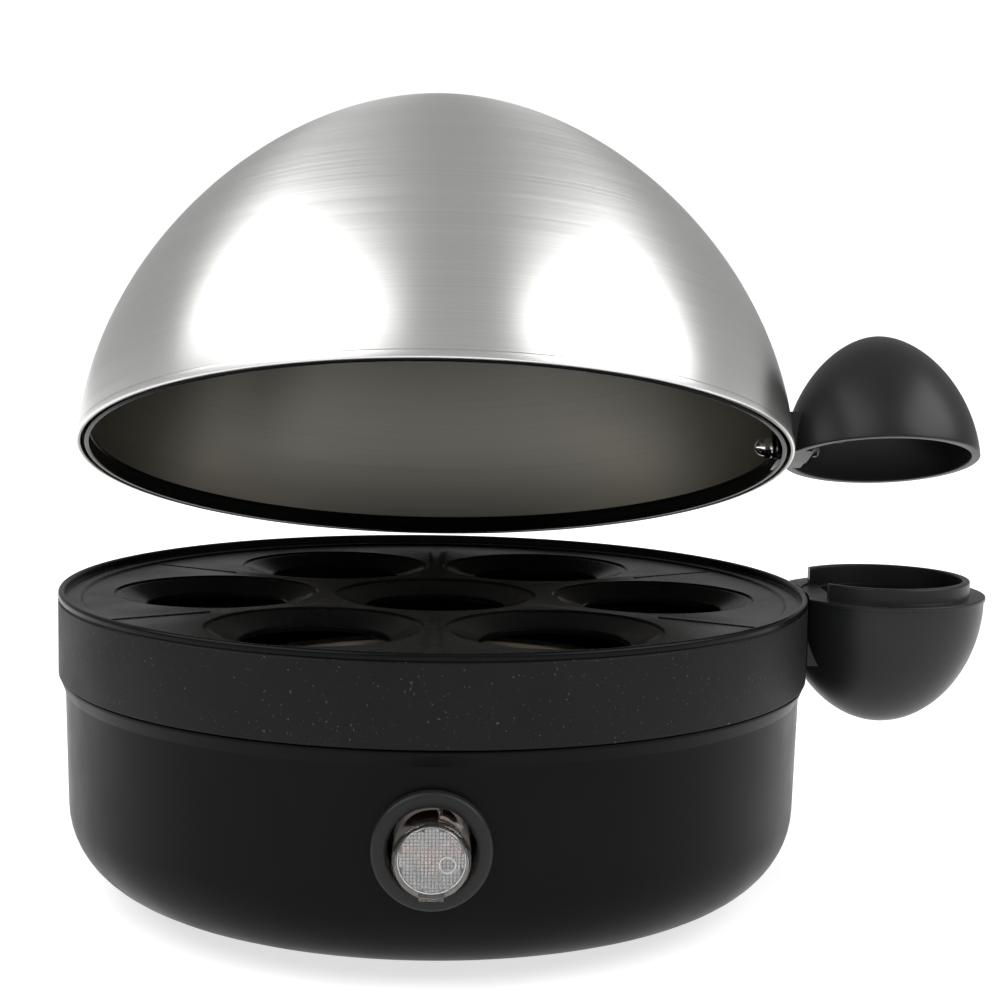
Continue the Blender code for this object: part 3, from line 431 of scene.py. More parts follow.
class Nodes:
    """A material's node tree, with a short way to add and link its nodes."""

    def __init__(self, name):
        self.material = bpy.data.materials.new(name)
        self.material.use_nodes = True
        self.tree = self.material.node_tree
        self.shader = self.tree.nodes["Principled BSDF"]

    def link(self, value, socket):
        if isinstance(value, bpy.types.NodeSocket):
            self.tree.links.new(value, socket)
        else:
            socket.default_value = value

    def add(self, kind, inputs=(), **settings):
        node = self.tree.nodes.new(kind)
        for key, value in settings.items():
            setattr(node, key, value)
        for key, value in dict(inputs).items():
            self.link(value, node.inputs[key])
        return node

    def place(self):
        return self.add("ShaderNodeTexCoord").outputs["Object"]

    def noise(self, vector, scale, detail=2.0, roughness=0.5):
        inputs = {"Vector": vector, "Scale": scale, "Detail": detail, "Roughness": roughness}
        return self.add("ShaderNodeTexNoise", inputs).outputs["Fac"]

    def math(self, operation, a, b=0.0):
        return self.add("ShaderNodeMath", {0: a, 1: b}, operation=operation).outputs[0]

    def spread(self, value, low, high, from_low=0.3, from_high=0.7):
        """Maps a noise value to a range of numbers."""
        inputs = {"Value": value, "To Min": low, "To Max": high}
        inputs |= {"From Min": from_low, "From Max": from_high}
        return self.add("ShaderNodeMapRange", inputs).outputs["Result"]

    def blend(self, share, first, second):
        """A colour between two, by a share that may be a socket."""
        node = self.add("ShaderNodeMix", data_type="RGBA")
        for key, value in (("Factor", share), ("A", first), ("B", second)):
            found = [item for item in node.inputs if item.name == key and item.enabled]
            self.link(value, found[0])
        return next(item for item in node.outputs if item.enabled)

    def bump(self, height, distance, normal=None):
        inputs = {"Height": height, "Distance": distance, "Strength": 1.0}
        if normal is not None:
            inputs["Normal"] = normal
        return self.add("ShaderNodeBump", inputs).outputs["Normal"]

    def shade(self, **values):
        for key, value in values.items():
            self.link(value, self.shader.inputs[key.replace("_", " ")])
        return self.material


def grey(value, warmth=0.0):
    return (value * (1 + warmth), value, value * (1 - warmth), 1.0)


def plastic(name, value, roughness, grain, depth, specks=0.0, blue=0.0, specular=0.2):
    """Moulded black plastic: spark-eroded grain, uneven gloss and fine pale dust specks."""
    nodes = Nodes(name)
    place = nodes.place()
    fine = nodes.noise(place, 1 / grain, 3.0)
    patches = nodes.noise(place, 55.0, 3.0)
    dark = (value * (1 - blue) * 0.85, value * 0.85, value * (1 + blue) * 0.85, 1.0)
    light = (value * (1 - blue) * 1.15, value * 1.15, value * (1 + blue) * 1.15, 1.0)
    colour = nodes.blend(nodes.spread(patches, 0.0, 1.0), dark, light)
    if specks:
        dust = nodes.noise(place, 1400.0, 1.0)
        colour = nodes.blend(nodes.spread(dust, 0.0, specks, 0.70, 0.78), colour, grey(0.22))
    grains = nodes.spread(fine, roughness - 0.03, roughness + 0.03)
    rough = nodes.math("ADD", nodes.spread(patches, -0.05, 0.05), grains)
    nodes.shade(Base_Color=colour, Roughness=rough, Normal=nodes.bump(fine, depth))
    nodes.shade(Specular_IOR_Level=specular)
    return nodes.material


def brushed(name, colour, roughness, anisotropy, round_count, depth, axis=None):
    """Metal brushed round an axis: streaks along the latitudes, which fan highlights across them.

    The axis is local Z, unless a frame is given for a piece that also has a map of its latitudes.
    """
    nodes = Nodes(name)
    place = nodes.place()
    if axis is None:
        tangent = nodes.add("ShaderNodeTangent", direction_type="RADIAL", axis="Z")
    else:
        inputs = {"Vector": place, "Location": axis.translation, "Rotation": axis.to_euler()}
        place = nodes.add("ShaderNodeMapping", inputs, vector_type="TEXTURE").outputs["Vector"]
        tangent = nodes.add("ShaderNodeTangent", direction_type="UV_MAP", uv_map=LATITUDES)
    split = nodes.add("ShaderNodeSeparateXYZ", {"Vector": place})
    x, y, z = (split.outputs[side] for side in "XYZ")
    squares = [nodes.math("MULTIPLY", side, side) for side in (x, y)]
    across = nodes.math("SQRT", nodes.math("ADD", *squares))
    latitude = nodes.math("ARCTAN2", across, z)
    streaks = []
    for share, long in ((1.0, 7.0), (0.4, 14.0), (0.1, 5.0)):
        inputs = {
            "X": nodes.math("MULTIPLY", x, long),
            "Y": nodes.math("MULTIPLY", y, long),
            "Z": nodes.math("MULTIPLY", latitude, round_count * share),
        }
        vector = nodes.add("ShaderNodeCombineXYZ", inputs).outputs["Vector"]
        streaks.append(nodes.noise(vector, 1.0, 4.0, 0.65))
    fine, medium, broad = streaks
    both = nodes.math("ADD", nodes.math("MULTIPLY", fine, 0.7), nodes.math("MULTIPLY", medium, 0.3))
    dark = tuple(0.91 * part for part in colour) + (1.0,)
    light = tuple(min(1.0, 1.06 * part) for part in colour) + (1.0,)
    shade = nodes.blend(nodes.spread(both, 0.0, 1.0, *STREAKS), dark, light)
    rough = nodes.math(
        "ADD",
        nodes.spread(both, roughness - 0.03, roughness + 0.03, *STREAKS),
        nodes.spread(broad, -0.02, 0.02),
    )
    nodes.shade(Base_Color=shade, Metallic=1.0, Roughness=rough, Tangent=tangent.outputs["Tangent"])
    nodes.shade(Anisotropic=anisotropy, Anisotropic_Rotation=0.25)
    nodes.shade(Normal=nodes.bump(both, depth))
    return nodes.material


def map_latitudes(obj):
    """Gives a piece turned about local Z a map that runs round the axis and out from it."""
    layer = obj.data.uv_layers.new(name=LATITUDES)
    for face in obj.data.polygons:
        middle = math.atan2(face.center.y, face.center.x)
        for corner in face.loop_indices:
            place = obj.data.vertices[obj.data.loops[corner].vertex_index].co
            across = math.hypot(place.x, place.y)
            turn = math.atan2(place.y, place.x) - middle if across > MM / 10 else 0.0
            turn = (turn + math.pi) % (2 * math.pi) - math.pi
            share = math.atan2(across, place.z)
            layer.data[corner].uv = ((middle + turn) / (2 * math.pi), share)


def plain_metal(name, value, roughness, grain):
    nodes = Nodes(name)
    place = nodes.place()
    marks = nodes.noise(place, 1 / grain, 4.0)
    colour = nodes.blend(nodes.spread(marks, 0.0, 1.0), grey(value * 0.9), grey(value))
    rough = nodes.spread(marks, roughness * 0.7, roughness * 1.3)
    nodes.shade(Base_Color=colour, Metallic=1.0, Roughness=rough)
    return nodes.shade(Normal=nodes.bump(marks, 0.004 * MM))


def soft_plastic(name, colour, roughness, depth=0.01 * MM, waxy=0.0):
    """Rubber, silicone, nylon and wire covering: an even colour with a little mottling."""
    nodes = Nodes(name)
    place = nodes.place()
    fine = nodes.noise(place, 2500.0, 3.0)
    patches = nodes.noise(place, 130.0, 2.0)
    dark = tuple(0.88 * part for part in colour) + (1.0,)
    shade = nodes.blend(nodes.spread(patches, 0.0, 1.0), dark, (*colour, 1.0))
    rough = nodes.spread(fine, roughness - 0.06, roughness + 0.06)
    nodes.shade(Base_Color=shade, Roughness=rough, Normal=nodes.bump(fine, depth))
    nodes.shade(Subsurface_Weight=waxy, Subsurface_Scale=1.0 * MM)
    return nodes.material


def clear(name, colour, roughness, transmission):
    nodes = Nodes(name)
    place = nodes.place()
    haze = nodes.noise(place, 600.0, 3.0)
    rough = nodes.spread(haze, roughness * 0.6, roughness * 1.6)
    nodes.shade(Base_Color=(*colour, 1.0), Roughness=rough, Transmission_Weight=transmission)
    nodes.shade(IOR=1.49, Normal=nodes.bump(haze, 0.003 * MM))
    return nodes.material


def prism_plastic_painted_shade(name, pitch):
    """Clear plastic in rows of small prisms: pale facets, with painted shade darkening the valleys between them.
    """
    nodes = Nodes(name)
    split = nodes.add("ShaderNodeSeparateXYZ", {"Vector": nodes.place()})
    up = nodes.math("SUBTRACT", split.outputs["Z"], SWITCH_Z)
    across = nodes.math("PINGPONG", split.outputs["X"], pitch / 2)
    edge = nodes.math("MINIMUM", across, nodes.math("PINGPONG", up, pitch / 2))
    # painted shade: the colour falls to a dark grey along the valleys between the prisms
    colour = nodes.blend(nodes.spread(edge, 0.0, 1.0, 0.02 * MM, pitch / 4), grey(0.12), grey(0.95))
    nodes.shade(Base_Color=colour, Roughness=0.10, Transmission_Weight=0.72, IOR=1.49)
    return nodes.material


def glowing(name, colour, strength):
    """A neon lamp: orange glass, brighter in streaks along its electrodes."""
    nodes = Nodes(name)
    place = nodes.place()
    streaks = nodes.noise(place, 700.0, 2.0)
    glow = nodes.spread(streaks, strength * 0.6, strength * 1.3)
    nodes.shade(Base_Color=(*colour, 1.0), Roughness=0.12, Emission_Color=(*colour, 1.0))
    nodes.shade(Emission_Strength=glow)
    return nodes.material


BASE_BLACK = plastic(
    "base_black_plastic", 0.0030, 0.34, 0.25 * MM, 0.004 * MM, blue=0.02, specular=0.06
)
RING_BLACK = plastic(
    "tray_ring_plastic", 0.0070, 0.50, 0.16 * MM, 0.010 * MM, specks=0.20, specular=0.09
)
GLOSS_BLACK = plastic(
    "tray_gloss_plastic", 0.0030, 0.24, 0.35 * MM, 0.003 * MM, blue=0.10, specular=0.07
)
HANDLE_BLACK = plastic(
    "handle_plastic", 0.0075, 0.38, 0.22 * MM, 0.006 * MM, blue=0.04, specular=0.24
)
BEZEL_BLACK = plastic("bezel_plastic", 0.011, 0.46, 0.20 * MM, 0.006 * MM, blue=0.03, specular=0.22)
DOME_STEEL = brushed("dome_brushed_steel", (0.66, 0.66, 0.645), 0.33, 0.80, 850.0, 0.0024 * MM, LID)
# the dome's inside: the same brushed steel made darker, as painted shade
INNER_STEEL_PAINTED_SHADE = brushed("dome_inner_steel_painted_shade", (0.30, 0.285, 0.25), 0.36, 0.55, 900.0, 0.001 * MM, LID)
PLATE_STEEL = brushed("plate_brushed_steel", (0.52, 0.50, 0.44), 0.34, 0.45, 90.0, 0.004 * MM)
CHROME = plain_metal("bright_plating", 0.80, 0.10, 0.9 * MM)
DARK_STEEL = plain_metal("blackened_steel", 0.05, 0.40, 0.5 * MM)
SHEET_METAL = plain_metal("sheet_aluminium", 0.66, 0.38, 0.5 * MM)
RUBBER = soft_plastic("black_rubber", (0.022, 0.022, 0.022), 0.78, 0.02 * MM)
SILICONE = soft_plastic("grey_silicone", (0.30, 0.30, 0.29), 0.55, waxy=0.1)
NYLON = soft_plastic("white_nylon", (0.80, 0.79, 0.74), 0.45, waxy=0.1)
BROWN_WIRE = soft_plastic("brown_wire_cover", (0.20, 0.09, 0.04), 0.45)
BLUE_WIRE = soft_plastic("blue_wire_cover", (0.04, 0.10, 0.35), 0.45)
CLEAR_WALL = clear("clear_cap_plastic", (0.96, 0.97, 0.97), 0.05, 1.0)
PRISMS_PAINTED_SHADE = prism_plastic_painted_shade("prism_plastic_painted_shade", PRISM_PITCH)
PALE_RING = clear("ring_plastic", (0.97, 0.97, 0.95), 0.30, 0.20)
NEON = glowing("neon_glow", (1.0, 0.36, 0.16), 0.30)


# ---- base ----


def wall_radius(height):
    """The base's outside radius on its drafted wall."""
    low = BOTTOM_Z + EDGE_RADIUS
    share = (height - low) / (SHOULDER_Z - low)
    return LOWER_RADIUS + share * (SHOULDER_RADIUS - LOWER_RADIUS)


def make_base_shell():
    inside = [
        (0, BOTTOM_Z + WALL, 0),
        (LOWER_RADIUS - WALL, BOTTOM_Z + WALL, EDGE_RADIUS - WALL),
        (SHOULDER_RADIUS - WALL, SHOULDER_Z, 2 * MM),
        (RIM_RADIUS - WALL, SHOULDER_Z + 1.8 * MM, MM),
        (RIM_RADIUS - WALL, BASE_TOP_Z, EDGE),
    ]
    outside = [
        (RIM_RADIUS, BASE_TOP_Z, 0.5 * MM),
        (RIM_RADIUS, BASE_TOP_Z - 0.8 * MM, 0.5 * MM),
        (SHOULDER_RADIUS, SHOULDER_Z, 0.8 * MM),
        (LOWER_RADIUS, BOTTOM_Z, EDGE_RADIUS),
        (PAD_RADIUS + 0.4 * MM, BOTTOM_Z, 0.5 * MM),
        (PAD_RADIUS, 0, 0.4 * MM),
        (0, 0, 0),
    ]
    shell = turned("base_shell_moulding", inside + outside)
    bosses, holes = [], []
    for place in around(CORNERS, SCREW_CIRCLE, SCREW_TURN):
        boss = cylinder("boss", 6 * MM, 2 * MM, 6 * MM, SMALL)
        pocket = [
            (0, 6 * MM + REACH),
            (1.9 * MM, 6 * MM + REACH),
            (1.9 * MM, 3.3 * MM),
            (3.8 * MM, 3.3 * MM),
            (3.8 * MM, -REACH),
            (0, -REACH),
        ]
        bosses.append(shifted(boss, place))
        holes.append(shifted(turned("pocket", pocket, SMALL), place))
    holes.append(placed(cylinder("switch_hole", BUSH_RADIUS + GAP, *THROUGH_WALL), SWITCH))
    holes.append(placed(cylinder("inlet_hole", 6 * MM + GAP, *THROUGH_WALL), INLET))
    join(shell, *bosses)
    cut(shell, *holes)
    stand_in(shell, "base_shell", BASE_BLACK)


def make_feet():
    """Rubber feet with a rounded edge and a dished grip face with two rings."""
    outline = [
        (0, BOTTOM_Z - GAP, 0),
        (FOOT_RADIUS, BOTTOM_Z - GAP, SOFT),
        (FOOT_RADIUS, FLOOR_Z, 0.9 * MM),
        (4.6 * MM, FLOOR_Z, EDGE),
        (4.3 * MM, FLOOR_Z + 0.4 * MM, EDGE),
        (3.3 * MM, FLOOR_Z + 0.4 * MM, EDGE),
        (3.0 * MM, FLOOR_Z + 0.1 * MM, EDGE),
        (2.0 * MM, FLOOR_Z + 0.1 * MM, EDGE),
        (1.7 * MM, FLOOR_Z + 0.4 * MM, EDGE),
        (0, FLOOR_Z + 0.4 * MM, 0),
    ]
    for i, place in enumerate(around(CORNERS, FOOT_CIRCLE), start=1):
        foot = shifted(turned(f"foot_{i}_rubber", outline, 48), place)
        stand_in(foot, f"foot_{i}", RUBBER)


def screw(name, outline, head_z, depth):
    """A turned screw whose head has a cross recess, cut upwards from head_z."""
    body = turned(name, outline, SMALL)
    low, high = sorted((head_z, head_z + depth))
    arm, half = 1.6 * MM, 0.35 * MM
    first = prism("recess", plate((-arm, -half), (arm, half), 0), low, high)
    second = prism("recess", plate((-half, -arm), (half, arm), 0), low, high)
    join(first, second)
    return cut(body, first)


def make_deck_screws():
    outline = [
        (0, 16 * MM, 0),
        (0.8 * MM, 16 * MM, 0),
        (1.5 * MM, 14 * MM, 0),
        (1.5 * MM, 3 * MM, FINE),
        (3.3 * MM, 3 * MM, EDGE),
        (3.3 * MM, 1.5 * MM, 0.5 * MM),
        (2.4 * MM, 1.1 * MM, 0.4 * MM),
        (0, 1.1 * MM, 0),
    ]
    for i, place in enumerate(around(CORNERS, SCREW_CIRCLE, SCREW_TURN), start=1):
        made = screw(f"deck_screw_{i}_plated", outline, 0.5 * MM, 1.6 * MM)
        stand_in(shifted(made, place), f"deck_screw_{i}", CHROME)


def make_deck():
    """The ring under the tray, with a rib round its opening and hollow legs for its screws."""
    outline = [
        (DECK_RADIUS, DECK_TOP_Z, 0.4 * MM),
        (DECK_RADIUS, DECK_UNDER_Z, 0.4 * MM),
        (DECK_OPENING, DECK_UNDER_Z, 0.4 * MM),
        (DECK_OPENING, DECK_TOP_Z, 0.4 * MM),
        *channel(PLATE_RADIUS + 1.5 * MM, PLATE_RADIUS + 3.9 * MM, DECK_TOP_Z, 0.5 * MM, 0.5 * MM),
        *channel(DECK_RADIUS - 4.6 * MM, DECK_RADIUS - 2.6 * MM, DECK_TOP_Z, 0.4 * MM, 0.4 * MM),
    ]
    deck = turned("base_deck_moulding", outline)
    legs, pilots = [], []
    for place in around(CORNERS, SCREW_CIRCLE, SCREW_TURN):
        leg = cylinder("leg", 4 * MM, 6.3 * MM, DECK_UNDER_Z + MM, SMALL)
        pilot = cylinder("pilot", 1.8 * MM, 6.3 * MM - REACH, 18 * MM, SMALL)
        legs.append(shifted(leg, place))
        pilots.append(shifted(pilot, place))
    join(deck, *legs)
    cut(deck, *pilots)
    stand_in(deck, "base_deck", GLOSS_BLACK)


def make_heating_plate():
    """The pressed dish, with a shallow step round its floor, and the stud under it."""
    under = PLATE_TOP_Z - PLATE_THICKNESS
    floor_under = DISH_Z - PLATE_THICKNESS
    stud_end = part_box("heating_plate")[0].z
    slope = 3 * MM
    step = 0.35 * MM
    outline = [
        (0, DISH_Z, 0),
        (27 * MM, DISH_Z, MM),
        (28 * MM, DISH_Z + step, MM),
        (43 * MM, DISH_Z + step, MM),
        (44 * MM, DISH_Z, MM),
        (DISH_RADIUS, DISH_Z, 1.2 * MM),
        (DISH_RADIUS + slope, PLATE_TOP_Z - 1.2 * MM, MM),
        (DISH_RADIUS + slope + 1.2 * MM, PLATE_TOP_Z, MM),
        (PLATE_RADIUS, PLATE_TOP_Z, 0.35 * MM),
        (PLATE_RADIUS, under, 0.35 * MM),
        (DISH_RADIUS + slope + 1.8 * MM, under, 0.6 * MM),
        (DISH_RADIUS + slope + 0.8 * MM, PLATE_TOP_Z - 2 * MM, 0.6 * MM),
        (DISH_RADIUS + 0.6 * MM, floor_under, 0.6 * MM),
        (STUD_RADIUS, floor_under, EDGE),
        (STUD_RADIUS, stud_end, 0.4 * MM),
        (0, stud_end, 0),
    ]
    stand_in(turned("heating_plate_dish", outline), "heating_plate", PLATE_STEEL)
    low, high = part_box("plate_seal")
    outline = [
        (high.x, high.z, SOFT),
        (high.x, low.z, SOFT),
        (DECK_OPENING, low.z, SOFT),
        (DECK_OPENING, high.z, SOFT),
        (high.x - 2.1 * MM, high.z, FINE),
        (high.x - 1.9 * MM, high.z - 0.25 * MM, FINE),
        (high.x - 1.6 * MM, high.z - 0.25 * MM, FINE),
        (high.x - 1.4 * MM, high.z, FINE),
    ]
    stand_in(turned("plate_seal_ring", outline), "plate_seal", SILICONE)


# ---- switch and inlet ----


def make_bezel():
    """The switch's ring: a flange moulded to the curved wall, and the bush behind it."""
    flange = [
        (BEZEL_HOLE, BEZEL_FRONT, 0.7 * MM),
        (BEZEL_RADIUS, BEZEL_FRONT, 0.9 * MM),
        (BEZEL_RADIUS, 88 * MM, 0),
        (BEZEL_HOLE, 88 * MM, 0),
    ]
    bezel = placed(turned("switch_bezel_ring", flange, MEDIUM), SWITCH)
    low, high = SWITCH_Z - 1.4 * BEZEL_RADIUS, SWITCH_Z + 1.4 * BEZEL_RADIUS
    wall = [
        (0, high),
        (wall_radius(high) + GAP, high),
        (wall_radius(low) + GAP, low),
        (0, low),
    ]
    cut(bezel, turned("wall_room", wall))
    inner = BEZEL_HOLE + 0.1 * MM
    bush = [
        (BUSH_RADIUS, BEZEL_FRONT - MM),
        (BUSH_RADIUS, BEZEL_BACK),
        (inner, BEZEL_BACK),
        (inner, BEZEL_FRONT - MM),
    ]
    join(bezel, placed(turned("bush", bush, MEDIUM), SWITCH))
    stand_in(bezel, "switch_bezel", BEZEL_BLACK)


def make_button():
    """The clear cap with its guide ribs, and behind its face a plate of small prisms."""
    wall = 1.1 * MM
    outline = [
        (0, BUTTON_FRONT, 0),
        (BUTTON_RADIUS, BUTTON_FRONT, 0.7 * MM),
        (BUTTON_RADIUS, BUTTON_BACK, EDGE),
        (BUTTON_RADIUS - wall, BUTTON_BACK, EDGE),
        (BUTTON_RADIUS - wall, BUTTON_FRONT - wall, 0.4 * MM),
        (0, BUTTON_FRONT - wall, 0),
    ]
    cap = turned("button_cap_clear", outline, MEDIUM)
    ribs = []
    for angle in (-90, 62):
        low = (BUTTON_RADIUS - 0.5 * MM, -2.7 * MM)
        high = (BUTTON_RADIUS + 0.9 * MM, 2.7 * MM)
        rib = prism("rib", plate(low, high, SOFT), BUTTON_BACK + MM, BUTTON_FRONT - 2.2 * MM)
        ribs.append(placed(rib, Matrix.Rotation(math.radians(angle), 4, "Z")))
    join(cap, *ribs)
    stand_in(placed(cap, SWITCH), "button_cap", CLEAR_WALL)
    prisms = placed(make_prisms(6.9 * MM, BUTTON_FRONT - wall - 0.05 * MM), SWITCH)
    prisms.data.materials.append(PRISMS_PAINTED_SHADE)
    attach(prisms, "button")
    make_ring_mark(wall)

    plunger_back = -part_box("button_plunger")[1].y
    outline = [
        (BUTTON_RADIUS, BUTTON_BACK - GAP, SOFT),
        (BUTTON_RADIUS, BUTTON_BACK - 1.7 * MM, SOFT),
        (6.5 * MM, BUTTON_BACK - 1.7 * MM, EDGE),
        (6.5 * MM, plunger_back, SOFT),
        (4.5 * MM, plunger_back, SOFT),
        (4.5 * MM, BUTTON_BACK - GAP, SOFT),
    ]
    plunger = placed(turned("button_plunger_nylon", outline, MEDIUM), SWITCH)
    stand_in(plunger, "button_plunger", NYLON)


def make_prisms(radius, front):
    """A round plate whose back is covered in small pyramids, in rows."""
    pitch = PRISM_PITCH
    thick, rise = 0.5 * MM, 0.3 * MM
    count = int(radius / pitch)
    cells = [
        (i, j)
        for i in range(-count, count)
        for j in range(-count, count)
        if math.hypot(i + 0.5, j + 0.5) * pitch < radius - 0.3 * pitch
    ]
    form = bmesh.new()
    for i, j in cells:
        ring = [(i, j), (i + 1, j), (i + 1, j + 1), (i, j + 1)]
        face = [form.verts.new((x * pitch, y * pitch, front)) for x, y in ring]
        back = [form.verts.new((x * pitch, y * pitch, front - thick)) for x, y in ring]
        peak = form.verts.new(((i + 0.5) * pitch, (j + 0.5) * pitch, front - thick - rise))
        form.faces.new(face)
        steps = ((0, -1), (1, 0), (0, 1), (-1, 0))
        for k, (di, dj) in enumerate(steps):
            form.faces.new((back[k], back[k - 3], peak))
            if (i + di, j + dj) not in cells:
                form.faces.new((face[k], face[k - 3], back[k - 3], back[k]))
    bmesh.ops.remove_doubles(form, verts=form.verts, dist=1e-6)
    return new_object("button_prisms", form)


def make_ring_mark(wall):
    """A small raised ring on the back of the cap's face."""
    front = BUTTON_FRONT - wall + 0.02 * MM
    inner, outer = 1.5 * MM, 1.8 * MM
    back = front - 1.1 * MM
    edge = 0.1 * MM
    outline = [(inner, front, edge), (inner, back, edge), (outer, back, edge), (outer, front, edge)]
    ring = turned("button_ring_mark", outline, 48)
    shifted(ring, (3.3 * MM, -0.9 * MM, 0))
    placed(ring, SWITCH)
    ring.data.materials.append(PALE_RING)
    attach(ring, "button")


def make_lamp():
    low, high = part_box("neon_lamp")
    radius = (high.x - low.x) / 2
    front, back = -low.y, -high.y
    outline = [*dome(radius, 2.2 * MM, 2, 12, front - 2.2 * MM), (radius, back), (0, back)]
    stand_in(placed(turned("neon_lamp_glass", outline, 48), SWITCH), "neon_lamp", NEON)


def make_gland():
    """The rubber gland in the inlet, ringed outside and open down its middle."""
    low = 79.6 * MM
    wall = wall_radius(INLET_Z)
    outline = [
        (3.5 * MM, GLAND_FACE, 0.6 * MM),
        (8 * MM, GLAND_FACE, 0.7 * MM),
        (8 * MM, wall + GAP, EDGE),
        (6 * MM, wall + GAP, FINE),
        (6 * MM, low, 0.5 * MM),
        (3.5 * MM, low, SOFT),
    ]
    gland = placed(turned("cord_gland_rubber", outline, MEDIUM), INLET)
    stand_in(gland, "cord_gland", RUBBER)


# ---- egg tray and its handle ----


def make_egg_tray():
    """Collar and floor in one moulding: a satin outer band, and a glossy lip, ledge and floor."""
    floor_radius = LIP_INNER_RADIUS - LEDGE_WIDTH
    skirt_radius = SHOULDER_RADIUS - WALL - 2 * GAP
    skirt_inner = skirt_radius - 1.6 * MM
    wall_inner = TRAY_RADIUS - TRAY_WALL
    web = SEAM_Z + 3 * MM
    groove = 0.4 * MM
    seat_z = FLOOR_TOP_Z - SEAT_STEP
    hole_z = seat_z - SEAT_DROP
    seat_rim = 1.2 * MM
    seat_wall = 1.4 * MM
    outline = [
        (SEAT_HOLE_RADIUS, hole_z, SOFT),
        (SEAT_RADIUS - seat_rim, seat_z, 0.4 * MM),
        (SEAT_RADIUS, seat_z, FINE),
        (SEAT_RADIUS, FLOOR_TOP_Z, EDGE),
        (floor_radius - 0.7 * MM, FLOOR_TOP_Z, SOFT),
        (floor_radius, TRAY_LEDGE_Z, SOFT),
        (LIP_INNER_RADIUS, TRAY_LEDGE_Z, EDGE),
        (LIP_INNER_RADIUS, TRAY_TOP_Z, 0.83 * MM),
        (TRAY_RADIUS, TRAY_TOP_Z, 0.83 * MM),
        (TRAY_RADIUS, TRAY_LEDGE_Z + groove, FINE),
        (TRAY_RADIUS - groove, TRAY_LEDGE_Z, FINE),
        (TRAY_RADIUS, TRAY_LEDGE_Z - groove, 0.15 * MM),
        (TRAY_RADIUS, SEAM_Z, SOFT),
        (skirt_radius, SEAM_Z, FINE),
        (skirt_radius, SKIRT_Z, SOFT),
        (skirt_inner, SKIRT_Z, SOFT),
        (skirt_inner, web, 0.5 * MM),
        (wall_inner, web + 2.4 * MM, 0.5 * MM),
        (wall_inner, FLOOR_UNDER_Z, MM),
        (SEAT_RADIUS, FLOOR_UNDER_Z, SOFT),
        (SEAT_HOLE_RADIUS + seat_wall, hole_z - seat_wall, SOFT),
        (SEAT_HOLE_RADIUS, hole_z - seat_wall, SOFT),
    ]
    tray = turned("egg_tray_moulding", outline)
    boss = [
        (0, FLOOR_TOP_Z - MM),
        (SEAT_RADIUS, FLOOR_TOP_Z - MM),
        (SEAT_RADIUS, FLOOR_UNDER_Z - 0.1 * MM),
        (SEAT_HOLE_RADIUS + seat_wall, hole_z - seat_wall),
        (0, hole_z - seat_wall),
    ]
    seat = [
        (0, FLOOR_TOP_Z + REACH, 0),
        (SEAT_RADIUS + 0.3 * MM, FLOOR_TOP_Z + REACH, 0),
        (SEAT_RADIUS + 0.3 * MM, FLOOR_TOP_Z + 0.1 * MM, 0),
        (SEAT_RADIUS, FLOOR_TOP_Z - 0.2 * MM, 0),
        (SEAT_RADIUS, seat_z, FINE),
        (SEAT_RADIUS - seat_rim, seat_z, 0.4 * MM),
        (SEAT_HOLE_RADIUS + 0.3 * MM, hole_z, EDGE),
        (SEAT_HOLE_RADIUS, hole_z - 0.3 * MM, FINE),
        (SEAT_HOLE_RADIUS, hole_z - REACH, 0),
        (0, hole_z - REACH, 0),
    ]
    bosses, seats = [], []
    for place in around(OUTER_SEATS, SEAT_CIRCLE):
        bosses.append(shifted(turned("boss", boss, MEDIUM), place))
        seats.append(shifted(turned("seat", seat, MEDIUM), place))
    join(tray, *bosses)
    cut(tray, *seats)
    for_screws = (1.6 * MM, 85 * MM, TRAY_RADIUS + REACH)
    cut(tray, *(bolt_hole(*for_screws, tray_fixing(side)) for side in (-1, 1)))
    join(tray, *make_tray_ribs())
    weld(tray)
    paint(tray, GLOSS_BLACK, RING_BLACK)
    band_radius = TRAY_RADIUS - 0.35 * MM
    for face in tray.data.polygons:
        centre = face.center
        on_band = math.hypot(centre.x, centre.y) > band_radius and centre.z < TRAY_LEDGE_Z
        face.material_index = 1 if on_band else 0
    show(tray, "egg_tray")


def make_tray_ribs():
    """Fine raised lines on the floor, between the outer seats and out to the ledge."""
    low = (62 * MM, -0.2 * MM)
    high = (LIP_INNER_RADIUS - LEDGE_WIDTH - 1.5 * MM, 0.2 * MM)
    outline = plate(low, high, FINE)
    ribs = []
    for angle in [30 + 60 * i for i in range(OUTER_SEATS)]:
        line = prism("rib", outline, FLOOR_TOP_Z - 0.5 * MM, FLOOR_TOP_Z + 0.18 * MM)
        ribs.append(placed(line, Matrix.Rotation(math.radians(angle), 4, "Z")))
    return ribs


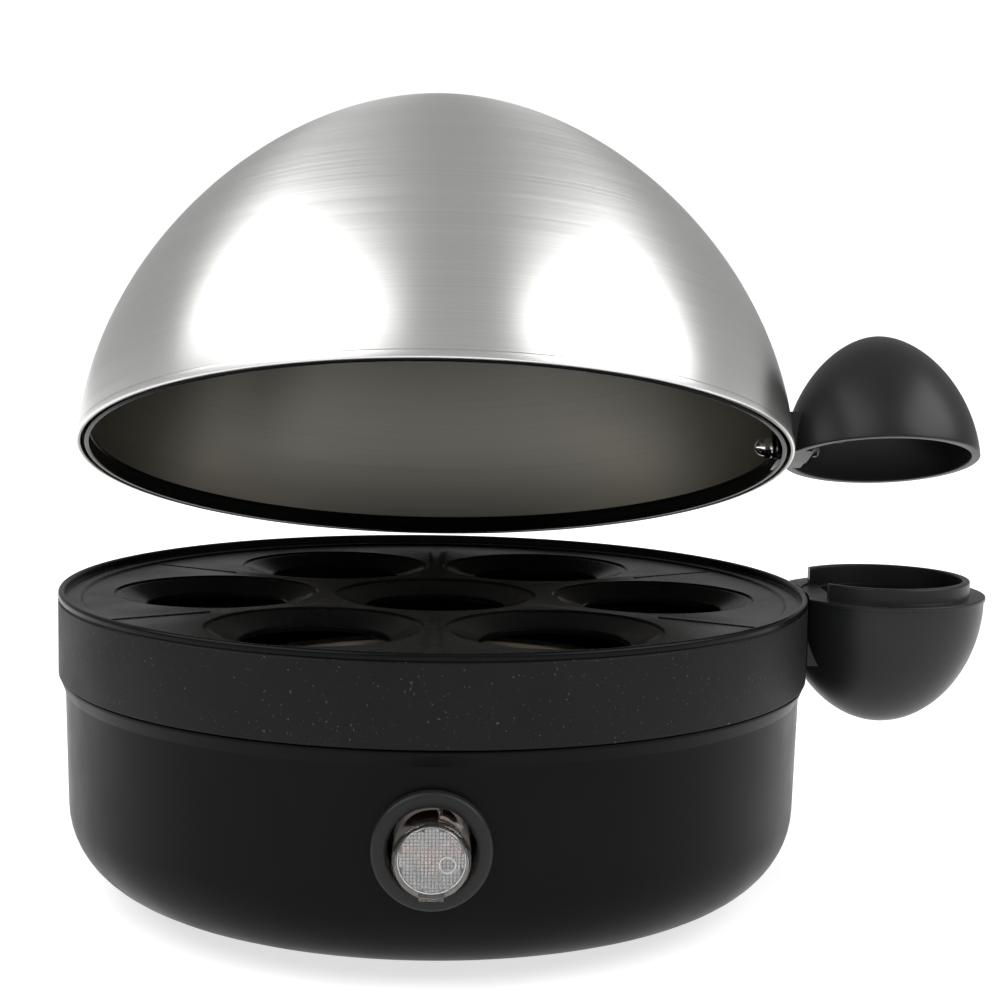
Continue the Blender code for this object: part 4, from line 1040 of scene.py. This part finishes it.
def make_tray_handle():
    """The lower half of the egg handle: its flange stands a little proud of the bowl below it."""
    lip_top = CUP_LEDGE_Z + CUP_LIP_HEIGHT
    hollow_radius = CUP_LIP_RADIUS - 2 * MM
    hollow_depth = CUP_DEPTH - HANDLE_WALL
    step_z = CUP_LEDGE_Z - 1.5 * MM
    flange_z = CUP_LEDGE_Z - 1.1 * MM
    inset = 0.35 * MM
    hollow = bowl(hollow_radius - 0.5 * MM, hollow_depth - 1.5 * MM, CUP_POWER, 32, step_z)
    inner = list(reversed(hollow))
    outer = bowl(CUP_RADIUS - inset, CUP_DEPTH - 1.1 * MM, CUP_POWER, 40, flange_z)
    rim = rounded(
        [
            (hollow_radius - 0.5 * MM, step_z, 0),
            (hollow_radius, step_z + 0.2 * MM, FINE),
            (hollow_radius, lip_top, 0.5 * MM),
            (CUP_LIP_RADIUS, lip_top, 0.5 * MM),
            (CUP_LIP_RADIUS, CUP_LEDGE_Z, 0.15 * MM),
            (CUP_RADIUS, CUP_LEDGE_Z, 0.35 * MM),
            (CUP_RADIUS, flange_z, EDGE),
            (CUP_RADIUS - inset, flange_z - 0.1 * MM, 0),
        ],
        closed=False,
    )
    cup = turned("tray_handle_cup", inner[:-1] + rim + outer[1:], MEDIUM * 2)
    shifted(cup, (HANDLE_X, 0, 0))
    low = (TRAY_RADIUS - 3 * MM, -13 * MM)
    high = (TRAY_RADIUS + 6 * MM, 13 * MM)
    block_outline = plate(low, high, 1.5 * MM)
    block = prism("block", block_outline, TRAY_FIXING_Z - 7 * MM, CUP_LEDGE_Z - 0.4 * MM)
    join(cup, block)
    lip_low = (80 * MM, -30 * MM)
    lip_high = (CUP_LIP_CUT_X, 30 * MM)
    end = prism("lip_end", plate(lip_low, lip_high, 0), CUP_LEDGE_Z + 0.05 * MM, lip_top + REACH)
    room = cylinder("ring_room", TRAY_RADIUS + GAP, BOTTOM_Z, CUP_LEDGE_Z + 2 * REACH, LARGE)
    cut(cup, room, end)
    for_screws = (1.3 * MM, 80 * MM, TRAY_RADIUS + 2 * REACH)
    cut(cup, *(bolt_hole(*for_screws, tray_fixing(side)) for side in (-1, 1)))
    stand_in(cup, "tray_handle", HANDLE_BLACK)

    head = 3 * MM
    head_x = math.sqrt((TRAY_RADIUS - TRAY_WALL) ** 2 - (TRAY_FIXING_Y + head) ** 2) - 2 * GAP
    outline = [
        (0, TRAY_RADIUS + 5.4 * MM, 0),
        (0.6 * MM, TRAY_RADIUS + 5.4 * MM, 0),
        (1.3 * MM, TRAY_RADIUS + 4 * MM, FINE),
        (1.3 * MM, head_x, FINE),
        (head, head_x, EDGE),
        (head, head_x - 1.4 * MM, 0.5 * MM),
        (2.2 * MM, head_x - 2 * MM, 0.5 * MM),
        (0, head_x - 2 * MM, 0),
    ]
    for number, side in enumerate((-1, 1), start=1):
        made = screw(f"tray_handle_screw_{number}_plated", outline, head_x - 2.6 * MM, 1.6 * MM)
        stand_in(placed(made, tray_fixing(side)), f"tray_handle_screw_{number}", CHROME)


# ---- lid ----


def make_lid_dome():
    """The brushed dome, with a rolled bead round its rim; its inside takes a darker steel, which is painted shade.
    """
    steel = LID_RADIUS - BEAD_DEPTH
    base = BEAD_HEIGHT + GAP
    outside = dome(steel, LID_HEIGHT - base, LID_POWER, 72, base)
    inside = dome(steel - LID_THICKNESS, LID_HEIGHT - base - LID_THICKNESS, LID_POWER, 64, base)
    bead = rounded(
        [
            (steel, base, 0),
            (LID_RADIUS, BEAD_HEIGHT, 0.35 * MM),
            (LID_RADIUS, 0, 0.45 * MM),
            (steel - LID_THICKNESS, 0, SOFT),
            (steel - LID_THICKNESS, base, 0),
        ],
        closed=False,
    )
    lid = turned("lid_dome_steel", outside[:-1] + bead + list(reversed(inside[:-1])))
    map_latitudes(lid)
    placed(lid, LID)
    cut(lid, bolt_hole(LID_SCREW_RADIUS, *THROUGH_RIM, LID_FIXING))
    # the inward faces take the darker steel, which is painted shade
    paint(lid, DOME_STEEL, INNER_STEEL_PAINTED_SHADE)
    centre = LID @ Vector((0, 0, 0))
    for face in lid.data.polygons:
        out = lid.matrix_world @ face.center - centre
        inward = out.dot(lid.matrix_world.to_3x3() @ face.normal) < 0
        face.material_index = 1 if inward else 0
    show(lid, "lid_dome")


def make_lid_ring():
    """The ring inside the rim, with a lip along its lower edge and a tab for the handle's nut."""
    inner = RING_RADIUS - RING_THICKNESS
    outline = [
        (RING_RADIUS, RING_HEIGHT, EDGE),
        (RING_RADIUS, 0, SOFT),
        (inner, 0, SOFT),
        (inner, 1.1 * MM, FINE),
        (inner + 0.25 * MM, 1.3 * MM, FINE),
        (inner + 0.25 * MM, RING_HEIGHT - 0.8 * MM, FINE),
        (inner, RING_HEIGHT - 0.6 * MM, FINE),
        (inner, RING_HEIGHT, EDGE),
    ]
    ring = placed(turned("lid_ring_moulding", outline), LID)
    tab_outline = plate((-9.6 * MM, -7 * MM), (-0.2 * MM, 7 * MM), 1.5 * MM)
    tab = prism("tab", tab_outline, inner - MM, inner + 0.5 * MM)
    join(ring, placed(tab, LID @ ALONG_X))
    cut(ring, bolt_hole(LID_SCREW_RADIUS, *THROUGH_RIM, LID_FIXING))
    stand_in(ring, "lid_ring", GLOSS_BLACK)


def make_lid_handle():
    """The upper half of the egg handle: a hollow cap with a pad that fits the dome."""
    hollow_radius = CAP_RADIUS - 2.2 * MM
    inside_height = CAP_HEIGHT - HANDLE_WALL
    outside = dome(CAP_RADIUS, CAP_HEIGHT, CAP_POWER, 48)
    inside = dome(hollow_radius, inside_height, CAP_POWER, 40)
    rim = rounded(
        [
            outside[-2] + (0,),
            (CAP_RADIUS, 0, SOFT),
            (hollow_radius, 0, SOFT),
            inside[-2] + (0,),
        ],
        closed=False,
    )
    outline = outside[:-2] + rim + list(reversed(inside[:-2]))
    cap = placed(turned("lid_handle_cap", outline, MEDIUM * 2), CAP)
    pad_outline = plate((86 * MM, -9 * MM), (PAD_FACE_X, 9 * MM), 1.2 * MM)
    pad = prism("pad", pad_outline, CAP_LIFT, 12 * MM)
    join(cap, placed(pad, LID))
    room = [
        *dome(LID_RADIUS + GAP, LID_HEIGHT + GAP, LID_POWER, 64),
        (LID_RADIUS + GAP, -REACH),
        (0, -REACH),
    ]
    hole = bolt_hole(LID_SCREW_RADIUS, 80 * MM, PAD_FACE_X + REACH / 2, LID_FIXING)
    cut(cap, placed(turned("dome_room", room), LID), hole)
    stand_in(cap, "lid_handle", HANDLE_BLACK)


def make_lid_fixings():
    """The bracket with its two slots, the screw through the dome and the acorn nut inside."""
    sheet = MM
    face = PAD_FACE_X + GAP
    shelf = 8.2 * MM
    half = 8 * MM
    low_edge = CAP_LIFT + MM
    side_view = [
        (face, low_edge, EDGE),
        (face + sheet, low_edge, EDGE),
        (face + sheet, shelf, 0.6 * MM),
        (face + 11 * MM, shelf, EDGE),
        (face + 11 * MM, shelf + sheet, EDGE),
        (face, shelf + sheet, 1.2 * MM),
    ]
    bracket = prism("lid_handle_bracket_slotted", rounded(side_view), -half, half)
    placed(bracket, LID @ Matrix.Rotation(math.pi / 2, 4, "X"))
    slots = []
    for side in (-1, 1):
        middle = side * half / 2
        low = (face + 2.5 * MM, middle - 1.4 * MM)
        high = (face + 9.5 * MM, middle + 1.4 * MM)
        slot = prism("slot", plate(low, high, 1.35 * MM), shelf - REACH / 4, shelf + REACH)
        slots.append(placed(slot, LID))
    slots.append(bolt_hole(LID_SCREW_RADIUS, face - REACH, face + REACH, LID_FIXING))
    cut(bracket, *slots)
    soften(bracket, 0.12 * MM)
    stand_in(bracket, "lid_handle_bracket", HANDLE_BLACK)

    ring_face = RING_RADIUS - RING_THICKNESS - MM
    nut_high = ring_face - GAP
    nut_low = nut_high - 4.6 * MM
    head = face + sheet + GAP
    outline = [
        (0, head + 1.5 * MM, 0),
        (2 * MM, head + 1.5 * MM, SOFT),
        (2.5 * MM, head + MM, SOFT),
        (2.5 * MM, head, FINE),
        (1.4 * MM, head, FINE),
        (1.4 * MM, nut_low + 2 * MM, EDGE),
        (0, nut_low + 2 * MM, 0),
    ]
    made = screw("lid_handle_screw_plated", outline, head + 2 * MM, -1.1 * MM)
    stand_in(placed(made, LID_FIXING), "lid_handle_screw", DARK_STEEL)

    blind = nut_low + 2 * MM - GAP
    collar = 2.2 * MM
    crown = rounded(
        [
            (0, blind, 0),
            (1.4 * MM + GAP, blind, 0),
            (1.4 * MM + GAP, nut_high, EDGE),
            (3 * MM, nut_high, EDGE),
            (3 * MM, nut_high - 0.5 * MM, FINE),
            (2.45 * MM, nut_high - collar, SOFT),
        ],
        closed=False,
    )
    cap_points = list(dome(2.4 * MM, nut_high - collar - nut_low, 2, 10))
    top = [(across, nut_high - collar - up) for across, up in reversed(cap_points)]
    nut = turned("lid_acorn_nut_plated", crown + top[1:], 48)
    corners = [place.xy for place in around(6, 3 * MM)]
    hexagon = prism("hexagon", corners, nut_high - collar, nut_high - 0.45 * MM)
    join(nut, hexagon)
    stand_in(placed(nut, LID_FIXING), "lid_acorn_nut", CHROME)


# ---- pieces inside the base, whose CAD shapes stay ----


def finish_inner_pieces():
    looks = {
        SHEET_METAL: ("plate_bracket", "thermostat_clip", "thermal_fuse", "heating_element"),
        CHROME: ("bracket_nut",),
        NYLON: ("thermostat", "terminal_block"),
        GLOSS_BLACK: ("switch_body",),
        BROWN_WIRE: ("wire_live", "wire_load"),
        BLUE_WIRE: ("wire_lamp", "wire_neutral"),
    }
    for material, names in looks.items():
        for name in names:
            paint(frame["nodes"][name], material)


def make_spring():
    """The CAD spring's shape, copied as it stands; the real spring shortens as the button goes in, but this copy
    keeps its length.
    """
    solid = frame["nodes"]["switch_spring"]
    mesh = solid.data.copy()
    mesh.transform(solid.matrix_world)
    spring = bpy.data.objects.new("switch_spring_coil", mesh)
    bpy.context.scene.collection.objects.link(spring)
    paint(spring, CHROME)
    weld(spring)
    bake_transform(spring)
    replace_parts(spring, "switch_spring")


# ---- studio and camera ----


def make_floor():
    form = bmesh.new()
    bmesh.ops.create_grid(form, x_segments=8, y_segments=8, size=20.0)
    floor = new_object("studio_floor", form)
    floor.location.z = FLOOR_Z
    nodes = Nodes("studio_paper")
    paper = nodes.noise(nodes.place(), 40.0, 3.0)
    colour = nodes.blend(nodes.spread(paper, 0.0, 1.0), grey(0.48), grey(0.50))
    far = nodes.add("ShaderNodeVectorMath", {0: nodes.place()}, operation="LENGTH").outputs["Value"]
    glow = nodes.spread(far, FLOOR_GLOW_NEAR, FLOOR_GLOW_FAR, 0.12, 0.75)
    nodes.shade(Base_Color=colour, Roughness=0.9, Specular_IOR_Level=0.0)
    nodes.shade(Emission_Color=grey(1.0), Emission_Strength=glow)
    floor.data.materials.append(nodes.material)


def make_world():
    """White where the camera looks past the floor, dimmer where the object reflects it."""
    world = bpy.data.worlds.new("studio")
    bpy.context.scene.world = world
    world.use_nodes = True
    tree = world.node_tree
    background = tree.nodes["Background"]
    background.inputs["Color"].default_value = (1, 1, 1, 1)
    path = tree.nodes.new("ShaderNodeLightPath")
    place = tree.nodes.new("ShaderNodeTexCoord")
    split = tree.nodes.new("ShaderNodeSeparateXYZ")
    tree.links.new(place.outputs["Generated"], split.inputs["Vector"])
    ramp = tree.nodes.new("ShaderNodeMapRange")
    limits = {"From Min": -0.1, "From Max": 0.9, "To Min": REFLECTED_LOW, "To Max": REFLECTED_HIGH}
    for key, value in limits.items():
        ramp.inputs[key].default_value = value
    tree.links.new(split.outputs["Z"], ramp.inputs["Value"])
    strength = tree.nodes.new("ShaderNodeMix")
    tree.links.new(path.outputs["Is Camera Ray"], strength.inputs["Factor"])
    tree.links.new(ramp.outputs["Result"], strength.inputs["A"])
    strength.inputs["B"].default_value = SEEN_WHITE
    tree.links.new(strength.outputs["Result"], background.inputs["Strength"])


def area_light(name, place, size, power):
    data = bpy.data.lights.new(name, "AREA")
    data.shape = "RECTANGLE"
    data.size, data.size_y = size
    data.energy = power
    light = bpy.data.objects.new(name, data)
    bpy.context.scene.collection.objects.link(light)
    light.location = place
    light.rotation_euler = (Vector(AIM) - Vector(place)).to_track_quat("-Z", "Y").to_euler()
    return light


def make_lights():
    lights = {name: area_light(name, *values) for name, values in SOFTBOXES.items()}
    lights["fill_top"].visible_glossy = False


def make_camera():
    data = bpy.data.cameras.new("camera")
    data.lens = CAMERA_LENS
    data.sensor_width = 36
    data.clip_end = 50
    camera = bpy.data.objects.new("camera", data)
    bpy.context.scene.collection.objects.link(camera)
    high = math.sin(CAMERA_ELEVATION)
    camera.location = (
        0,
        -CAMERA_DISTANCE * math.cos(CAMERA_ELEVATION),
        FLOOR_Z + CAMERA_AIM_HEIGHT + CAMERA_DISTANCE * high,
    )
    down = CAMERA_ELEVATION + CAMERA_PITCH
    turn = (
        Matrix.Rotation(CAMERA_YAW, 4, "Z")
        @ Matrix.Rotation(math.pi / 2 - down, 4, "X")
        @ Matrix.Rotation(CAMERA_ROLL, 4, "Z")
    )
    camera.rotation_euler = turn.to_euler()
    bpy.context.scene.camera = camera
    bpy.context.scene.view_settings.view_transform = "Standard"


make_base_shell()
make_feet()
make_deck_screws()
make_deck()
make_heating_plate()
make_bezel()
make_button()
make_lamp()
make_gland()
make_egg_tray()
make_tray_handle()
make_lid_dome()
make_lid_ring()
make_lid_handle()
make_lid_fixings()
make_spring()
finish_inner_pieces()
make_floor()
make_world()
make_lights()
make_camera()
